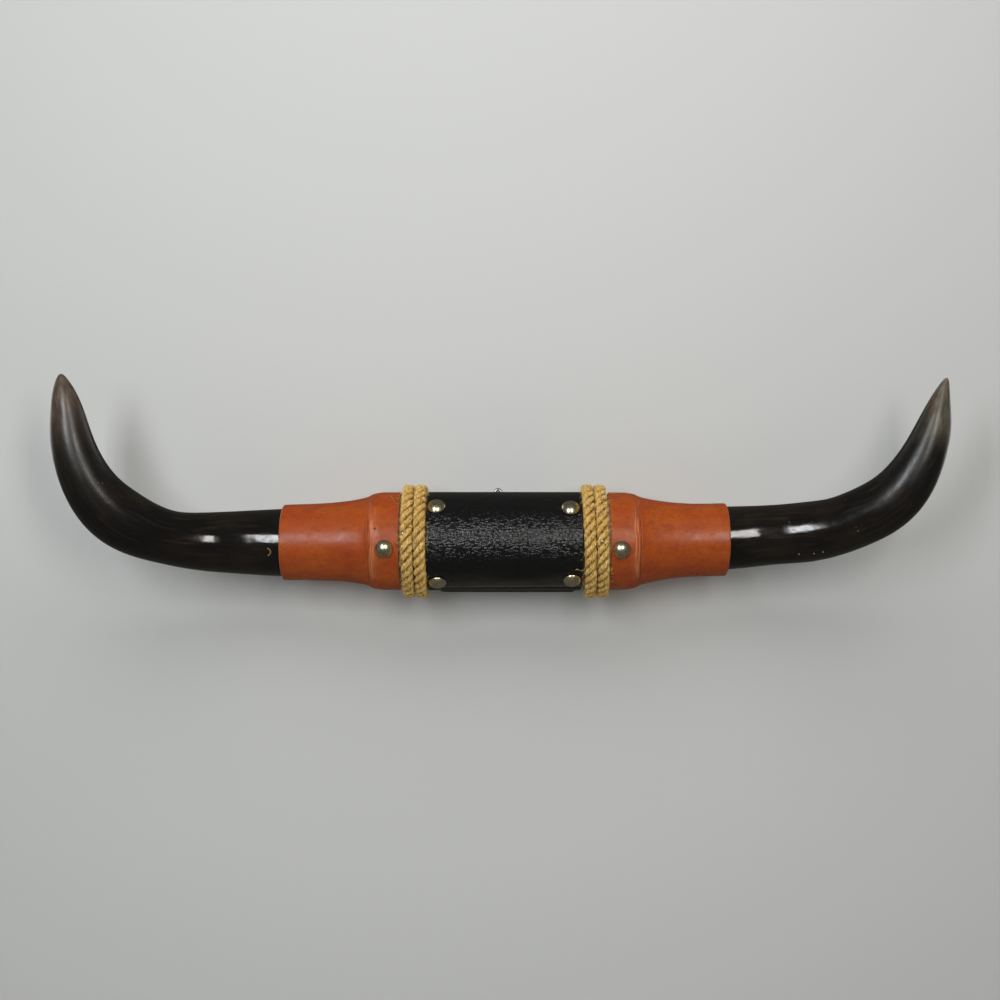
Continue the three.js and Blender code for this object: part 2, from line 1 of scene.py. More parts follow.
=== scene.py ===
"""The looks of a steer horn plaque: polished horns, moulded leather, rope, tacks, board and hanger.

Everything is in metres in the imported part's frame: +X to the right of someone facing the wall, +Y into the
wall, +Z up, with the origin on the back of the board, straight behind the axis of the core.
"""

import logging
import math
from dataclasses import dataclass, replace
from enum import Enum
from typing import Sequence

import bmesh
import bpy
import numpy as np
from bpy.types import Material, Mesh, Node, NodeSocket, NodeTree, Object
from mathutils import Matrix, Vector


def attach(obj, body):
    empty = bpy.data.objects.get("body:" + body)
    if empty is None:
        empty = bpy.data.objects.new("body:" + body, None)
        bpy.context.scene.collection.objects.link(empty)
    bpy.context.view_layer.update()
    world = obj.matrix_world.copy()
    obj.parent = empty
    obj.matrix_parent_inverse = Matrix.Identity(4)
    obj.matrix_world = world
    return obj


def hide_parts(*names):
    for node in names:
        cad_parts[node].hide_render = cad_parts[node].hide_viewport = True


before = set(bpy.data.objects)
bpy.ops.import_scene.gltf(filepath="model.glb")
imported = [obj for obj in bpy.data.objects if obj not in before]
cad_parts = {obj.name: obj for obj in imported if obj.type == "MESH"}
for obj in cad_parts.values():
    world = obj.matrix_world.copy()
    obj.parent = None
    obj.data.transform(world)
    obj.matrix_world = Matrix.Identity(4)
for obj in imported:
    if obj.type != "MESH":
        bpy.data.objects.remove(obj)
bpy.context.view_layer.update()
LOG = logging.getLogger("steer_horn_plaque")

MM = 0.001
ROOT = "root"

AXIS_Y = -42 * MM
CORE_RADIUS = 32.2 * MM
AXIS_TO_SEAT = 19.5 * MM
GAP = 0.3 * MM
ROPE_TOP = 40.7 * MM

Pair = tuple[float, float]
Point = tuple[float, float, float]
Tint = tuple[float, float, float]
Colour = tuple[float, float, float, float]
Sight = tuple[Vector, Vector]
Labels = Sequence[str]


class Hand(Enum):
    """The two ends of the plaque, with the sign of their side of X."""

    LEFT = -1
    RIGHT = 1

    @property
    def word(self) -> str:
        """The hand as it stands in the names of nodes and pieces."""
        return self.name.lower()


class Ends(Enum):
    """How the first and last ring of a skin are closed."""

    FAN = "fan"
    STRIP = "strip"


# Numbers and curves


def smooth(value: np.ndarray, low: float, high: float) -> np.ndarray:
    """A soft step from 0 at low to 1 at high."""
    share = np.clip((np.asarray(value, dtype=float) - low) / (high - low), 0, 1)
    return share * share * (3 - 2 * share)


def bell(value: np.ndarray, middle: float, width: float) -> np.ndarray:
    """A bell of height 1 round a middle, that has all but gone at twice its width."""
    return np.exp(-(((np.asarray(value, dtype=float) - middle) / width) ** 2))


def spline(places: Sequence[float], values: np.ndarray, at: np.ndarray) -> np.ndarray:
    """Values on a natural cubic spline.

    Args:
        places: Rising places of the given values.
        values: One row of values for each place.
        at: The places to work out.

    Returns:
        One row of values for each place in at.
    """
    places = np.asarray(places, dtype=float)
    values = np.asarray(values, dtype=float)
    gaps = np.diff(places)
    count = len(places)
    matrix = np.eye(count)
    right = np.zeros(values.shape)
    for i in range(1, count - 1):
        matrix[i, i - 1 : i + 2] = gaps[i - 1], 2 * (gaps[i - 1] + gaps[i]), gaps[i]
        right[i] = 6 * ((values[i + 1] - values[i]) / gaps[i] - (values[i] - values[i - 1]) / gaps[i - 1])
    bends = np.linalg.solve(matrix, right)
    k = np.clip(np.searchsorted(places, at, side="right") - 1, 0, count - 2)
    gap = gaps[k][:, None]
    past = (at - places[k])[:, None]
    left = gap - past
    return (
        (bends[k] * left**3 + bends[k + 1] * past**3) / (6 * gap)
        + (values[k] / gap - bends[k] * gap / 6) * left
        + (values[k + 1] / gap - bends[k + 1] * gap / 6) * past
    )


def eased(places: Sequence[float], values: Sequence[float], at: np.ndarray) -> np.ndarray:
    """Values on a curve that never overshoots its points, for profiles with steps in them.

    Args:
        places: Rising places of the given values.
        values: The values there.
        at: The places to work out.

    Returns:
        The value at each place.
    """
    places = np.asarray(places, dtype=float)
    values = np.asarray(values, dtype=float)
    gaps = np.diff(places)
    slopes = np.diff(values) / gaps
    tangents = np.zeros(len(places))
    tangents[0], tangents[-1] = slopes[0], slopes[-1]
    for i in range(1, len(places) - 1):
        if slopes[i - 1] * slopes[i] > 0:
            ahead, behind = 2 * gaps[i] + gaps[i - 1], gaps[i] + 2 * gaps[i - 1]
            tangents[i] = (ahead + behind) / (ahead / slopes[i - 1] + behind / slopes[i])
    at = np.clip(at, places[0], places[-1])
    k = np.clip(np.searchsorted(places, at, side="right") - 1, 0, len(gaps) - 1)
    t = (at - places[k]) / gaps[k]
    return (
        values[k] * (1 + 2 * t) * (1 - t) ** 2
        + tangents[k] * gaps[k] * t * (1 - t) ** 2
        + values[k + 1] * t**2 * (3 - 2 * t)
        + tangents[k + 1] * gaps[k] * t**2 * (t - 1)
    )


def ripple(along: np.ndarray, turn: np.ndarray, seed: float) -> np.ndarray:
    """The low unevenness of hand work, between about -1 and 1.

    Args:
        along: Distance along the piece, in metres.
        turn: Angle round the piece, in radians.
        seed: Shifts the pattern from piece to piece.

    Returns:
        The height at each point.
    """
    first = np.sin(61 * along + 2 * turn + seed) * np.cos(23 * along - turn + 1.7 * seed)
    second = np.sin(137 * along - 3 * turn + 2.9 * seed) * np.cos(47 * along + 2 * turn - seed)
    return 0.65 * first + 0.35 * second


def round_axis(x: np.ndarray, radius: np.ndarray, turn: np.ndarray, forward: float = 0, up: float = 0) -> np.ndarray:
    """Points round the axis of the core.

    Args:
        x: Places along the core.
        radius: Distances from the axis.
        turn: Angles from the front, upwards, in radians.
        forward: How far the middle has drifted from the axis towards the viewer.
        up: How far it has drifted upwards.

    Returns:
        An array of points.
    """
    x, radius, turn = np.broadcast_arrays(x, radius, turn)
    return np.stack([x, AXIS_Y - forward - radius * np.cos(turn), up + radius * np.sin(turn)], axis=-1)


# Meshes


def shown(name: str, mesh: Mesh) -> Object:
    """Puts a mesh into the scene.

    Args:
        name: The object's name.
        mesh: Its mesh.

    Returns:
        The object.
    """
    mesh.name = name
    made = bpy.data.objects.new(name, mesh)
    bpy.context.scene.collection.objects.link(made)
    return made


def plain_mesh(name: str, points: np.ndarray, faces: Sequence[Sequence[int]], edges: Sequence = ()) -> Object:
    """An object from points and faces, smooth shaded and with its faces turned outwards.

    Args:
        name: The object's name.
        points: One row for each point.
        faces: The points of each face.
        edges: Loose edges, for a path.

    Returns:
        The object, in the scene.
    """
    mesh = bpy.data.meshes.new(name)
    mesh.from_pydata(np.asarray(points, dtype=float).tolist(), list(edges), [list(face) for face in faces])
    if faces:
        work = bmesh.new()
        work.from_mesh(mesh)
        bmesh.ops.recalc_face_normals(work, faces=work.faces)
        work.to_mesh(mesh)
        work.free()
        mesh.polygons.foreach_set("use_smooth", [True] * len(mesh.polygons))
    mesh.update()
    return shown(name, mesh)


def path_object(name: str, points: np.ndarray) -> Object:
    """A bare path of edges through points, for a tree to grow something on."""
    return plain_mesh(name, points, [], [(i, i + 1) for i in range(len(points) - 1)])


def skin(name: str, rings: np.ndarray, ends: Ends) -> Object:
    """A closed skin over rings of points.

    Args:
        name: The object's name.
        rings: An array of rings, points and coordinates.
        ends: How the first and last ring are closed.

    Returns:
        The object, whose points are in the order of the rings, with one more at each end for a fan.
    """
    count, around = rings.shape[:2]
    points = rings.reshape(-1, 3)
    i, j = np.meshgrid(np.arange(count - 1), np.arange(around), indexing="ij")
    here, beside = i * around + j, i * around + (j + 1) % around
    faces = np.stack([here, beside, beside + around, here + around], axis=-1).reshape(-1, 4).tolist()
    last = (count - 1) * around
    if ends is Ends.FAN:
        points = np.concatenate([points, rings[0].mean(axis=0)[None], rings[-1].mean(axis=0)[None]])
        first_middle, last_middle = len(points) - 2, len(points) - 1
        for k in range(around):
            after = (k + 1) % around
            faces.append([first_middle, after, k])
            faces.append([last_middle, last + k, last + after])
    else:
        for k in range(around // 2 - 1):
            back = around - 1 - k
            faces.append([k, k + 1, back - 1, back])
            faces.append([last + k, last + back, last + back - 1, last + k + 1])
    return plain_mesh(name, points, faces)


def note(piece: Object, name: str, values: np.ndarray) -> None:
    """Stores a value or a vector on each point of a piece, for its material to read.

    Args:
        piece: The piece, whose points come first in the order of the values.
        name: The attribute's name.
        values: One number or one row of three for each point; missing ones at the end repeat the last.
    """
    count = len(piece.data.vertices)
    values = np.asarray(values, dtype=np.float32)
    if len(values) < count:
        values = np.concatenate([values, np.repeat(values[-1:], count - len(values), axis=0)])
    is_vector = values.ndim == 2
    layer = piece.data.attributes.new(name, "FLOAT_VECTOR" if is_vector else "FLOAT", "POINT")
    layer.data.foreach_set("vector" if is_vector else "value", values[:count].ravel())


def with_modifiers(piece: Object) -> Object:
    """Replaces a piece by a plain mesh of what its modifiers make.

    Args:
        piece: The piece, which is used up.

    Returns:
        The new piece, of the same name.
    """
    bpy.context.view_layer.update()
    graph = bpy.context.evaluated_depsgraph_get()
    mesh = bpy.data.meshes.new_from_object(piece.evaluated_get(graph), preserve_all_data_layers=True, depsgraph=graph)
    name = piece.name
    bpy.data.objects.remove(piece)
    return shown(name, mesh)


def crisp(piece: Object, angle: float) -> None:
    """Shades a piece smooth, apart from its sharp edges.

    Args:
        piece: The piece.
        angle: The least turn of a sharp edge, in degrees.
    """
    work = bmesh.new()
    work.from_mesh(piece.data)
    for edge in work.edges:
        edge.smooth = edge.calc_face_angle(math.pi) < math.radians(angle)
    for face in work.faces:
        face.smooth = True
    work.to_mesh(piece.data)
    work.free()


def dressed(piece: Object, material: Material, nodes: Sequence[str]) -> Object:
    """Gives a finished piece its material, its body and the nodes that it stands for.

    Args:
        piece: The finished piece.
        material: Its material.
        nodes: The CAD nodes that it replaces, or none.

    Returns:
        The same piece.
    """
    piece.data.materials.clear()
    piece.data.materials.append(material)
    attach(piece, ROOT)
    if nodes:
        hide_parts(*nodes)
    LOG.info("%s: %d faces", piece.name, len(piece.data.polygons))
    return piece


# Node trees


class Nodes:
    """Shorthand for building a node tree."""

    def __init__(self, tree: NodeTree) -> None:
        """Starts on a tree."""
        self.tree = tree

    def add(self, kind: str, inputs: dict | None = None, **settings: object) -> Node:
        """Adds a node.

        Args:
            kind: The node's type.
            inputs: Sockets by name or number, each with a value or with the output that feeds it.
            **settings: The node's own settings.

        Returns:
            The node.
        """
        node = self.tree.nodes.new(kind)
        for name, value in settings.items():
            setattr(node, name, value)
        for key, value in (inputs or {}).items():
            if isinstance(value, NodeSocket):
                self.tree.links.new(value, node.inputs[key])
            else:
                node.inputs[key].default_value = value
        return node

    def math(self, operation: str, *values: object) -> NodeSocket:
        """The result of a Math node on one, two or three values."""
        return self.add("ShaderNodeMath", dict(enumerate(values)), operation=operation).outputs[0]

    def vector_math(self, operation: str, *values: object) -> NodeSocket:
        """The vector result of a Vector Math node."""
        return self.add("ShaderNodeVectorMath", dict(enumerate(values)), operation=operation).outputs[0]

    def product(self, first: object, *others: object) -> NodeSocket:
        """Values multiplied together."""
        for other in others:
            first = self.math("MULTIPLY", first, other)
        return first

    def scaled_vector(self, vector: object, scale: object) -> NodeSocket:
        """A vector times a number."""
        return self.add("ShaderNodeVectorMath", {0: vector, "Scale": scale}, operation="SCALE").outputs[0]

    def length(self, vector: object) -> NodeSocket:
        """The length of a vector."""
        return self.add("ShaderNodeVectorMath", {0: vector}, operation="LENGTH").outputs["Value"]

    def joined(self, x: object, y: object, z: object) -> NodeSocket:
        """A vector from its three values."""
        return self.add("ShaderNodeCombineXYZ", {"X": x, "Y": y, "Z": z}).outputs[0]

    def mixed(self, share: object, first: object, second: object) -> NodeSocket:
        """Mixes two colours.

        Args:
            share: The second colour's share.
            first: The first colour.
            second: The second colour.

        Returns:
            The mixed colour.
        """
        node = self.add("ShaderNodeMix", None, data_type="RGBA")
        sockets = {s.name: s for s in node.inputs if s.enabled}
        for name, value in {"Factor": share, "A": first, "B": second}.items():
            if isinstance(value, NodeSocket):
                self.tree.links.new(value, sockets[name])
            else:
                sockets[name].default_value = value
        return next(s for s in node.outputs if s.enabled)


@dataclass(frozen=True)
class Pattern:
    """A noise: how much of it there is in a metre, along each axis or along all, and how fine it is.

    The depth is that of the relief it makes, and the shift keeps it off other patterns of its kind.
    """

    scale: float | Point
    detail: float = 4
    rough: float = 0.5
    depth: float = 0.0
    shift: Point = (0, 0, 0)


class Shading(Nodes):
    """The node tree of one material, with the few patterns that the finishes are made of."""

    def __init__(self, name: str) -> None:
        """Starts a material with only its output."""
        self.material = bpy.data.materials.new(name)
        self.material.use_nodes = True
        super().__init__(self.material.node_tree)
        self.tree.nodes.clear()
        self.output = self.tree.nodes.new("ShaderNodeOutputMaterial")

    def place(self) -> NodeSocket:
        """Object coordinates, which are the part's own frame."""
        return self.add("ShaderNodeTexCoord").outputs["Object"]

    def stored(self, name: str, vector: bool = False) -> NodeSocket:
        """A value or vector stored on the piece's points."""
        node = self.add("ShaderNodeAttribute", attribute_type="GEOMETRY", attribute_name=name)
        return node.outputs["Vector" if vector else "Fac"]

    def stretched(self, vector: object, scale: Point, shift: Point = (0, 0, 0)) -> NodeSocket:
        """A vector scaled along each axis, so that a pattern of size 1 has 1/scale metres."""
        return self.add("ShaderNodeMapping", {"Vector": vector, "Scale": scale, "Location": shift}).outputs[0]

    def noise(self, vector: object, pattern: Pattern) -> NodeSocket:
        """Soft noise between 0 and 1.

        Args:
            vector: The places it is read at.
            pattern: Its scale, detail, roughness and shift.

        Returns:
            The noise.
        """
        scale = pattern.scale
        if isinstance(scale, tuple):
            vector, scale = self.stretched(vector, scale, pattern.shift), 1
        inputs = {"Vector": vector, "Scale": scale, "Detail": pattern.detail, "Roughness": pattern.rough}
        return self.add("ShaderNodeTexNoise", inputs).outputs["Fac"]

    def jostled(self, vector: object, scale: float, reach: float) -> NodeSocket:
        """Places shifted to and fro by a coloured noise, no further than a reach in metres."""
        tints = self.add("ShaderNodeTexNoise", {"Vector": vector, "Scale": scale}).outputs["Color"]
        return self.vector_math("ADD", vector, self.scaled_vector(tints, reach))

    def cells(self, vector: object, scale: Point, random: float = 1) -> NodeSocket:
        """Distances from the middles of a pattern of cells."""
        inputs = {"Vector": self.stretched(vector, scale), "Scale": 1, "Randomness": random}
        return self.add("ShaderNodeTexVoronoi", inputs).outputs["Distance"]

    def between(self, value: object, low: float, high: float, to: Pair = (0, 1)) -> NodeSocket:
        """Carries a value softly from one range to another, and holds it at its ends.

        Args:
            value: The value.
            low: Where the first range starts.
            high: Where it ends; it may be the lower of the two.
            to: The start and end of the second range.

        Returns:
            The carried value.
        """
        inputs = {"Value": value, "From Min": low, "From Max": high, "To Min": to[0], "To Max": to[1]}
        return self.add("ShaderNodeMapRange", inputs, interpolation_type="SMOOTHSTEP").outputs[0]

    def sighted(self, sights: Sequence[Sight], radius: float) -> NodeSocket:
        """A mask of lines of sight.

        Args:
            sights: The lines, of which there is one or more.
            radius: How far from them the mask ends.

        Returns:
            1 on the lines, 0 further from them than the radius.
        """
        share = None
        for start, way in sights:
            away = self.vector_math("SUBTRACT", self.place(), tuple(start))
            off = self.length(self.vector_math("CROSS_PRODUCT", away, tuple(way)))
            here = self.between(off, radius, 0.5 * radius)
            share = here if share is None else self.math("MAXIMUM", share, here)
        return share

    def bumped(self, height: object, depth: float, below: object = None) -> NodeSocket:
        """Makes a normal from a relief.

        Args:
            height: The relief, between 0 and 1.
            depth: Its depth in metres.
            below: The normal that it lies on, or none.

        Returns:
            The normal.
        """
        inputs = {"Height": height, "Distance": depth, "Strength": 1.0}
        if below is not None:
            inputs["Normal"] = below
        return self.add("ShaderNodeBump", inputs).outputs["Normal"]

    def done(self, shader: Node) -> Material:
        """Links the shader to the output.

        Args:
            shader: The last shader node.

        Returns:
            The material.
        """
        self.tree.links.new(shader.outputs[0], self.output.inputs["Surface"])
        return self.material

    def surface(self, **inputs: object) -> Material:
        """Ends the material in a Principled shader.

        Args:
            **inputs: The shader's sockets, with underscores for the spaces in their names.

        Returns:
            The material.
        """
        named = {key.replace("_", " "): value for key, value in inputs.items()}
        return self.done(self.add("ShaderNodeBsdfPrincipled", named))


class Recipe(Nodes):
    """A Geometry Nodes tree with named inputs, which ends in Realize Instances and Set Material."""

    def __init__(self, name: str, sizes: Labels = (), counts: Labels = (), objects: Labels = ()) -> None:
        """Starts the tree.

        Args:
            name: The tree's name.
            sizes: The names of its inputs that are sizes or shares.
            counts: The names of its inputs that are counts or seeds.
            objects: The names of its inputs that are objects.
        """
        super().__init__(bpy.data.node_groups.new(name, "GeometryNodeTree"))
        face = self.tree.interface
        for way in ("INPUT", "OUTPUT"):
            face.new_socket(name="Geometry", in_out=way, socket_type="NodeSocketGeometry")
        kinds = {"Float": sizes, "Int": counts, "Object": objects, "Material": ("Material",)}
        self.identifiers = {
            label: face.new_socket(name=label, in_out="INPUT", socket_type=f"NodeSocket{kind}").identifier
            for kind, labels in kinds.items()
            for label in labels
        }
        self.given = self.tree.nodes.new("NodeGroupInput").outputs

    def end(self, geometry: NodeSocket) -> None:
        """Realizes what was made, gives it the material and links it to the output."""
        whole = self.add("GeometryNodeRealizeInstances", {"Geometry": geometry}).outputs[0]
        inputs = {"Geometry": whole, "Material": self.given["Material"]}
        last = self.add("GeometryNodeSetMaterial", inputs).outputs[0]
        self.add("NodeGroupOutput", {"Geometry": last})

    def grow(self, base: Object, name: str, material: Material, sizes: object) -> Object:
        """Runs the tree on an object and keeps the result as a plain mesh.

        Args:
            base: What the tree starts from; it is used up.
            name: The new object's name.
            material: Its material.
            sizes: What has a field for each of the tree's other inputs: "Yarn Depth" is yarn_depth.

        Returns:
            The new object.
        """
        modifier = base.modifiers.new(self.tree.name, "NODES")
        modifier.node_group = self.tree
        for label, identifier in self.identifiers.items():
            field = label.lower().replace(" ", "_")
            modifier[identifier] = material if label == "Material" else getattr(sizes, field)
        base.name = f"{name}_base"
        made = with_modifiers(base)
        made.name = name
        made.data.polygons.foreach_set("use_smooth", [True] * len(made.data.polygons))
        return made

    def stored(self, geometry: object, name: str, value: object, kind: str = "FLOAT") -> NodeSocket:
        """Geometry with a value stored on each of its points."""
        inputs = {"Geometry": geometry, "Name": name, "Value": value}
        return self.add("GeometryNodeStoreNamedAttribute", inputs, data_type=kind, domain="POINT").outputs[0]

    def read(self, name: str, kind: str = "FLOAT") -> NodeSocket:
        """A value that is stored on each point."""
        return self.add("GeometryNodeInputNamedAttribute", {"Name": name}, data_type=kind).outputs[0]

    def moved(self, geometry: object, offset: object) -> NodeSocket:
        """Geometry with its points moved."""
        return self.add("GeometryNodeSetPosition", {"Geometry": geometry, "Offset": offset}).outputs[0]

    def line(self) -> NodeSocket:
        """The path that the tree is given, as a curve."""
        return self.add("GeometryNodeMeshToCurve", {"Mesh": self.given["Geometry"]}).outputs[0]

    def tube(self, curve: object, radius: object, sides: object, scale: object = 1.0) -> NodeSocket:
        """A round tube along a curve, with closed ends."""
        profile = self.add("GeometryNodeCurvePrimitiveCircle", {"Resolution": sides, "Radius": radius}).outputs[0]
        inputs = {"Curve": curve, "Profile Curve": profile, "Scale": scale, "Fill Caps": True}
        return self.add("GeometryNodeCurveToMesh", inputs).outputs[0]

    def chance(self, low: float, high: float, seed: object) -> NodeSocket:
        """A random number for each point."""
        inputs = {2: low, 3: high, "Seed": seed}
        return self.add("FunctionNodeRandomValue", inputs, data_type="FLOAT").outputs[1]

    def spun(self, rotation: object, angle: object) -> NodeSocket:
        """A rotation after a turn about its own Z."""
        turn = self.add("FunctionNodeAxisAngleToRotation", {"Axis": (0, 0, 1), "Angle": angle}).outputs[0]
        inputs = {"Rotation": rotation, "Rotate By": turn}
        return self.add("FunctionNodeRotateRotation", inputs, rotation_space="LOCAL").outputs[0]


def thread_recipe() -> Recipe:
    """A tree that draws a round wire or a thread along a path, thinning towards its end."""
    r = Recipe("thread_along_path", ("Radius", "Thinning"), ("Sides",))
    share = r.add("GeometryNodeSplineParameter").outputs["Factor"]
    thin = r.math("SUBTRACT", 1.0, r.product(r.math("POWER", share, 2.0), r.given["Thinning"]))
    r.end(r.tube(r.line(), r.given["Radius"], r.given["Sides"], thin))
    return r


def seated_recipe() -> Recipe:
    """A tree that sets a copy of an object on each point, turned to the point's stored outward way."""
    r = Recipe("heads_on_seats", objects=("Head",))
    outward = r.read("outward", "FLOAT_VECTOR")
    upright = r.add("FunctionNodeAlignRotationToVector", {"Vector": outward}, axis="Z").outputs[0]
    head = r.add("GeometryNodeObjectInfo", {"Object": r.given["Head"]}).outputs["Geometry"]
    inputs = {"Points": r.given["Geometry"], "Instance": head, "Rotation": r.spun(upright, r.read("spin"))}
    r.end(r.add("GeometryNodeInstanceOnPoints", inputs).outputs[0])
    return r


def rope_recipe() -> Recipe:
    """A tree that lays twisted strands of ridged yarns along a path."""
    strand_sizes = ("Lay Length", "Strand Offset", "Strand Radius", "Yarn Depth", "Yarn Lay")
    skin_sizes = ("Squareness", "Unevenness", "Lump Size", "Step")
    r = Recipe("laid_rope", (*strand_sizes, *skin_sizes), ("Strands", "Yarns", "Sides"))
    given, whole_turn = r.given, 2 * math.pi
    inputs = {"Curve": r.line(), "Length": given["Step"]}
    even = r.add("GeometryNodeResampleCurve", inputs, mode="LENGTH").outputs[0]
    inputs = {"Geometry": even, "Amount": given["Strands"]}
    copies = r.add("GeometryNodeDuplicateElements", inputs, domain="SPLINE")
    length = r.add("GeometryNodeSplineParameter").outputs["Length"]

    # Each strand winds round the path, and its yarns wind the other way.
    share = r.math("DIVIDE", copies.outputs["Duplicate Index"], given["Strands"])
    turns = r.math("ADD", r.math("DIVIDE", length, given["Lay Length"]), share)
    angle = r.product(turns, whole_turn)
    tangent = r.add("GeometryNodeInputTangent").outputs[0]
    normal = r.add("GeometryNodeInputNormal").outputs[0]
    beside = r.vector_math("CROSS_PRODUCT", tangent, normal)
    first = r.scaled_vector(normal, r.math("COSINE", angle))
    second = r.scaled_vector(beside, r.math("SINE", angle))
    offset = r.scaled_vector(r.vector_math("ADD", first, second), given["Strand Offset"])
    here = r.add("GeometryNodeInputPosition").outputs[0]
    marked = r.stored(copies.outputs["Geometry"], "along", length)
    marked = r.stored(marked, "strand", share)
    marked = r.stored(marked, "middle", here, "FLOAT_VECTOR")
    tilt = r.product(r.math("DIVIDE", length, given["Yarn Lay"]), -whole_turn)
    inputs = {"Curve": r.moved(marked, offset), "Tilt": tilt}
    twisted = r.add("GeometryNodeSetCurveTilt", inputs).outputs[0]

    # The strand's section has a ridge for each yarn.
    inputs = {"Resolution": given["Sides"], "Radius": given["Strand Radius"]}
    ring = r.add("GeometryNodeCurvePrimitiveCircle", inputs).outputs[0]
    round_angle = r.product(r.add("GeometryNodeSplineParameter").outputs["Factor"], whole_turn)
    half_yarns = r.product(round_angle, r.product(given["Yarns"], 0.5))
    ridge = r.math("ABSOLUTE", r.math("SINE", half_yarns))
    sunk = r.product(r.math("SUBTRACT", ridge, 1.0), given["Yarn Depth"])
    profile = r.moved(ring, r.scaled_vector(here, sunk))
    around = r.joined(r.math("COSINE", round_angle), r.math("SINE", round_angle), ridge)
    kept = r.stored(profile, "around", around, "FLOAT_VECTOR")
    inputs = {"Curve": twisted, "Profile Curve": kept, "Fill Caps": True}
    laid = r.add("GeometryNodeCurveToMesh", inputs).outputs[0]

    # The turns press each other a little square.
    away = r.vector_math("SUBTRACT", here, r.read("middle", "FLOAT_VECTOR"))
    sideways = r.add("ShaderNodeSeparateXYZ", {"Vector": r.vector_math("NORMALIZE", away)}).outputs[0]
    flat = r.product(sideways, sideways)
    corner = r.product(flat, r.math("SUBTRACT", 1.0, flat), 4.0)
    pressed = r.scaled_vector(away, r.product(corner, given["Squareness"]))
    squared = r.moved(r.stored(laid, "reach", r.length(away)), pressed)

    # Uneven fibre makes the skin lumpy.
    inputs = {"Scale": r.math("DIVIDE", 1.0, given["Lump Size"]), "Detail": 3.0, "Roughness": 0.65}
    lumps = r.add("ShaderNodeTexNoise", inputs).outputs["Fac"]
    swollen = r.product(r.math("SUBTRACT", lumps, 0.5), given["Unevenness"], 2.0)
    outward = r.add("GeometryNodeInputNormal").outputs[0]
    r.end(r.moved(squared, r.scaled_vector(outward, swollen)))
    return r


def fuzz_recipe() -> Recipe:
    """A tree that adds fine bent fibres to the skin of a rope."""
    r = Recipe("rope_fuzz", ("Fuzz Density", "Fuzz Length", "Fuzz Radius"), ("Seed",))
    given, long = r.given, r.given["Fuzz Length"]
    inputs = {"Mesh": given["Geometry"], "Density": given["Fuzz Density"], "Seed": given["Seed"]}
    spots = r.add("GeometryNodeDistributePointsOnFaces", inputs, distribute_method="RANDOM").outputs
    knee = r.joined(r.product(long, 0.45), 0.0, r.product(long, 0.26))
    far = r.joined(long, r.product(long, 0.25), r.product(long, 0.3))
    inputs = {"Resolution": 4, "Start": (0, 0, 0), "Middle": knee, "End": far}
    bent = r.add("GeometryNodeCurveQuadraticBezier", inputs).outputs[0]
    fibre = r.stored(r.tube(bent, given["Fuzz Radius"], 3), "hair", 1.0)
    fibre = r.stored(fibre, "around", (0.6, 0.3, 1.0), "FLOAT_VECTOR")
    fibre = r.stored(fibre, "reach", 1.0)
    turned = r.spun(spots["Rotation"], r.chance(0.0, 2 * math.pi, given["Seed"]))
    size = r.chance(0.35, 1.25, r.math("ADD", given["Seed"], 1.0))
    inputs = {"Points": spots["Points"], "Instance": fibre, "Rotation": turned, "Scale": size}
    hairs = r.add("GeometryNodeInstanceOnPoints", inputs).outputs[0]
    both = r.add("GeometryNodeJoinGeometry")
    for geometry in (given["Geometry"], hairs):
        r.tree.links.new(geometry, both.inputs[0])
    r.end(both.outputs[0])
    return r


# Finishes


def shaded(colour: Colour, share: float) -> Colour:
    """A colour made darker."""
    return (*(share * value for value in colour[:3]), 1)


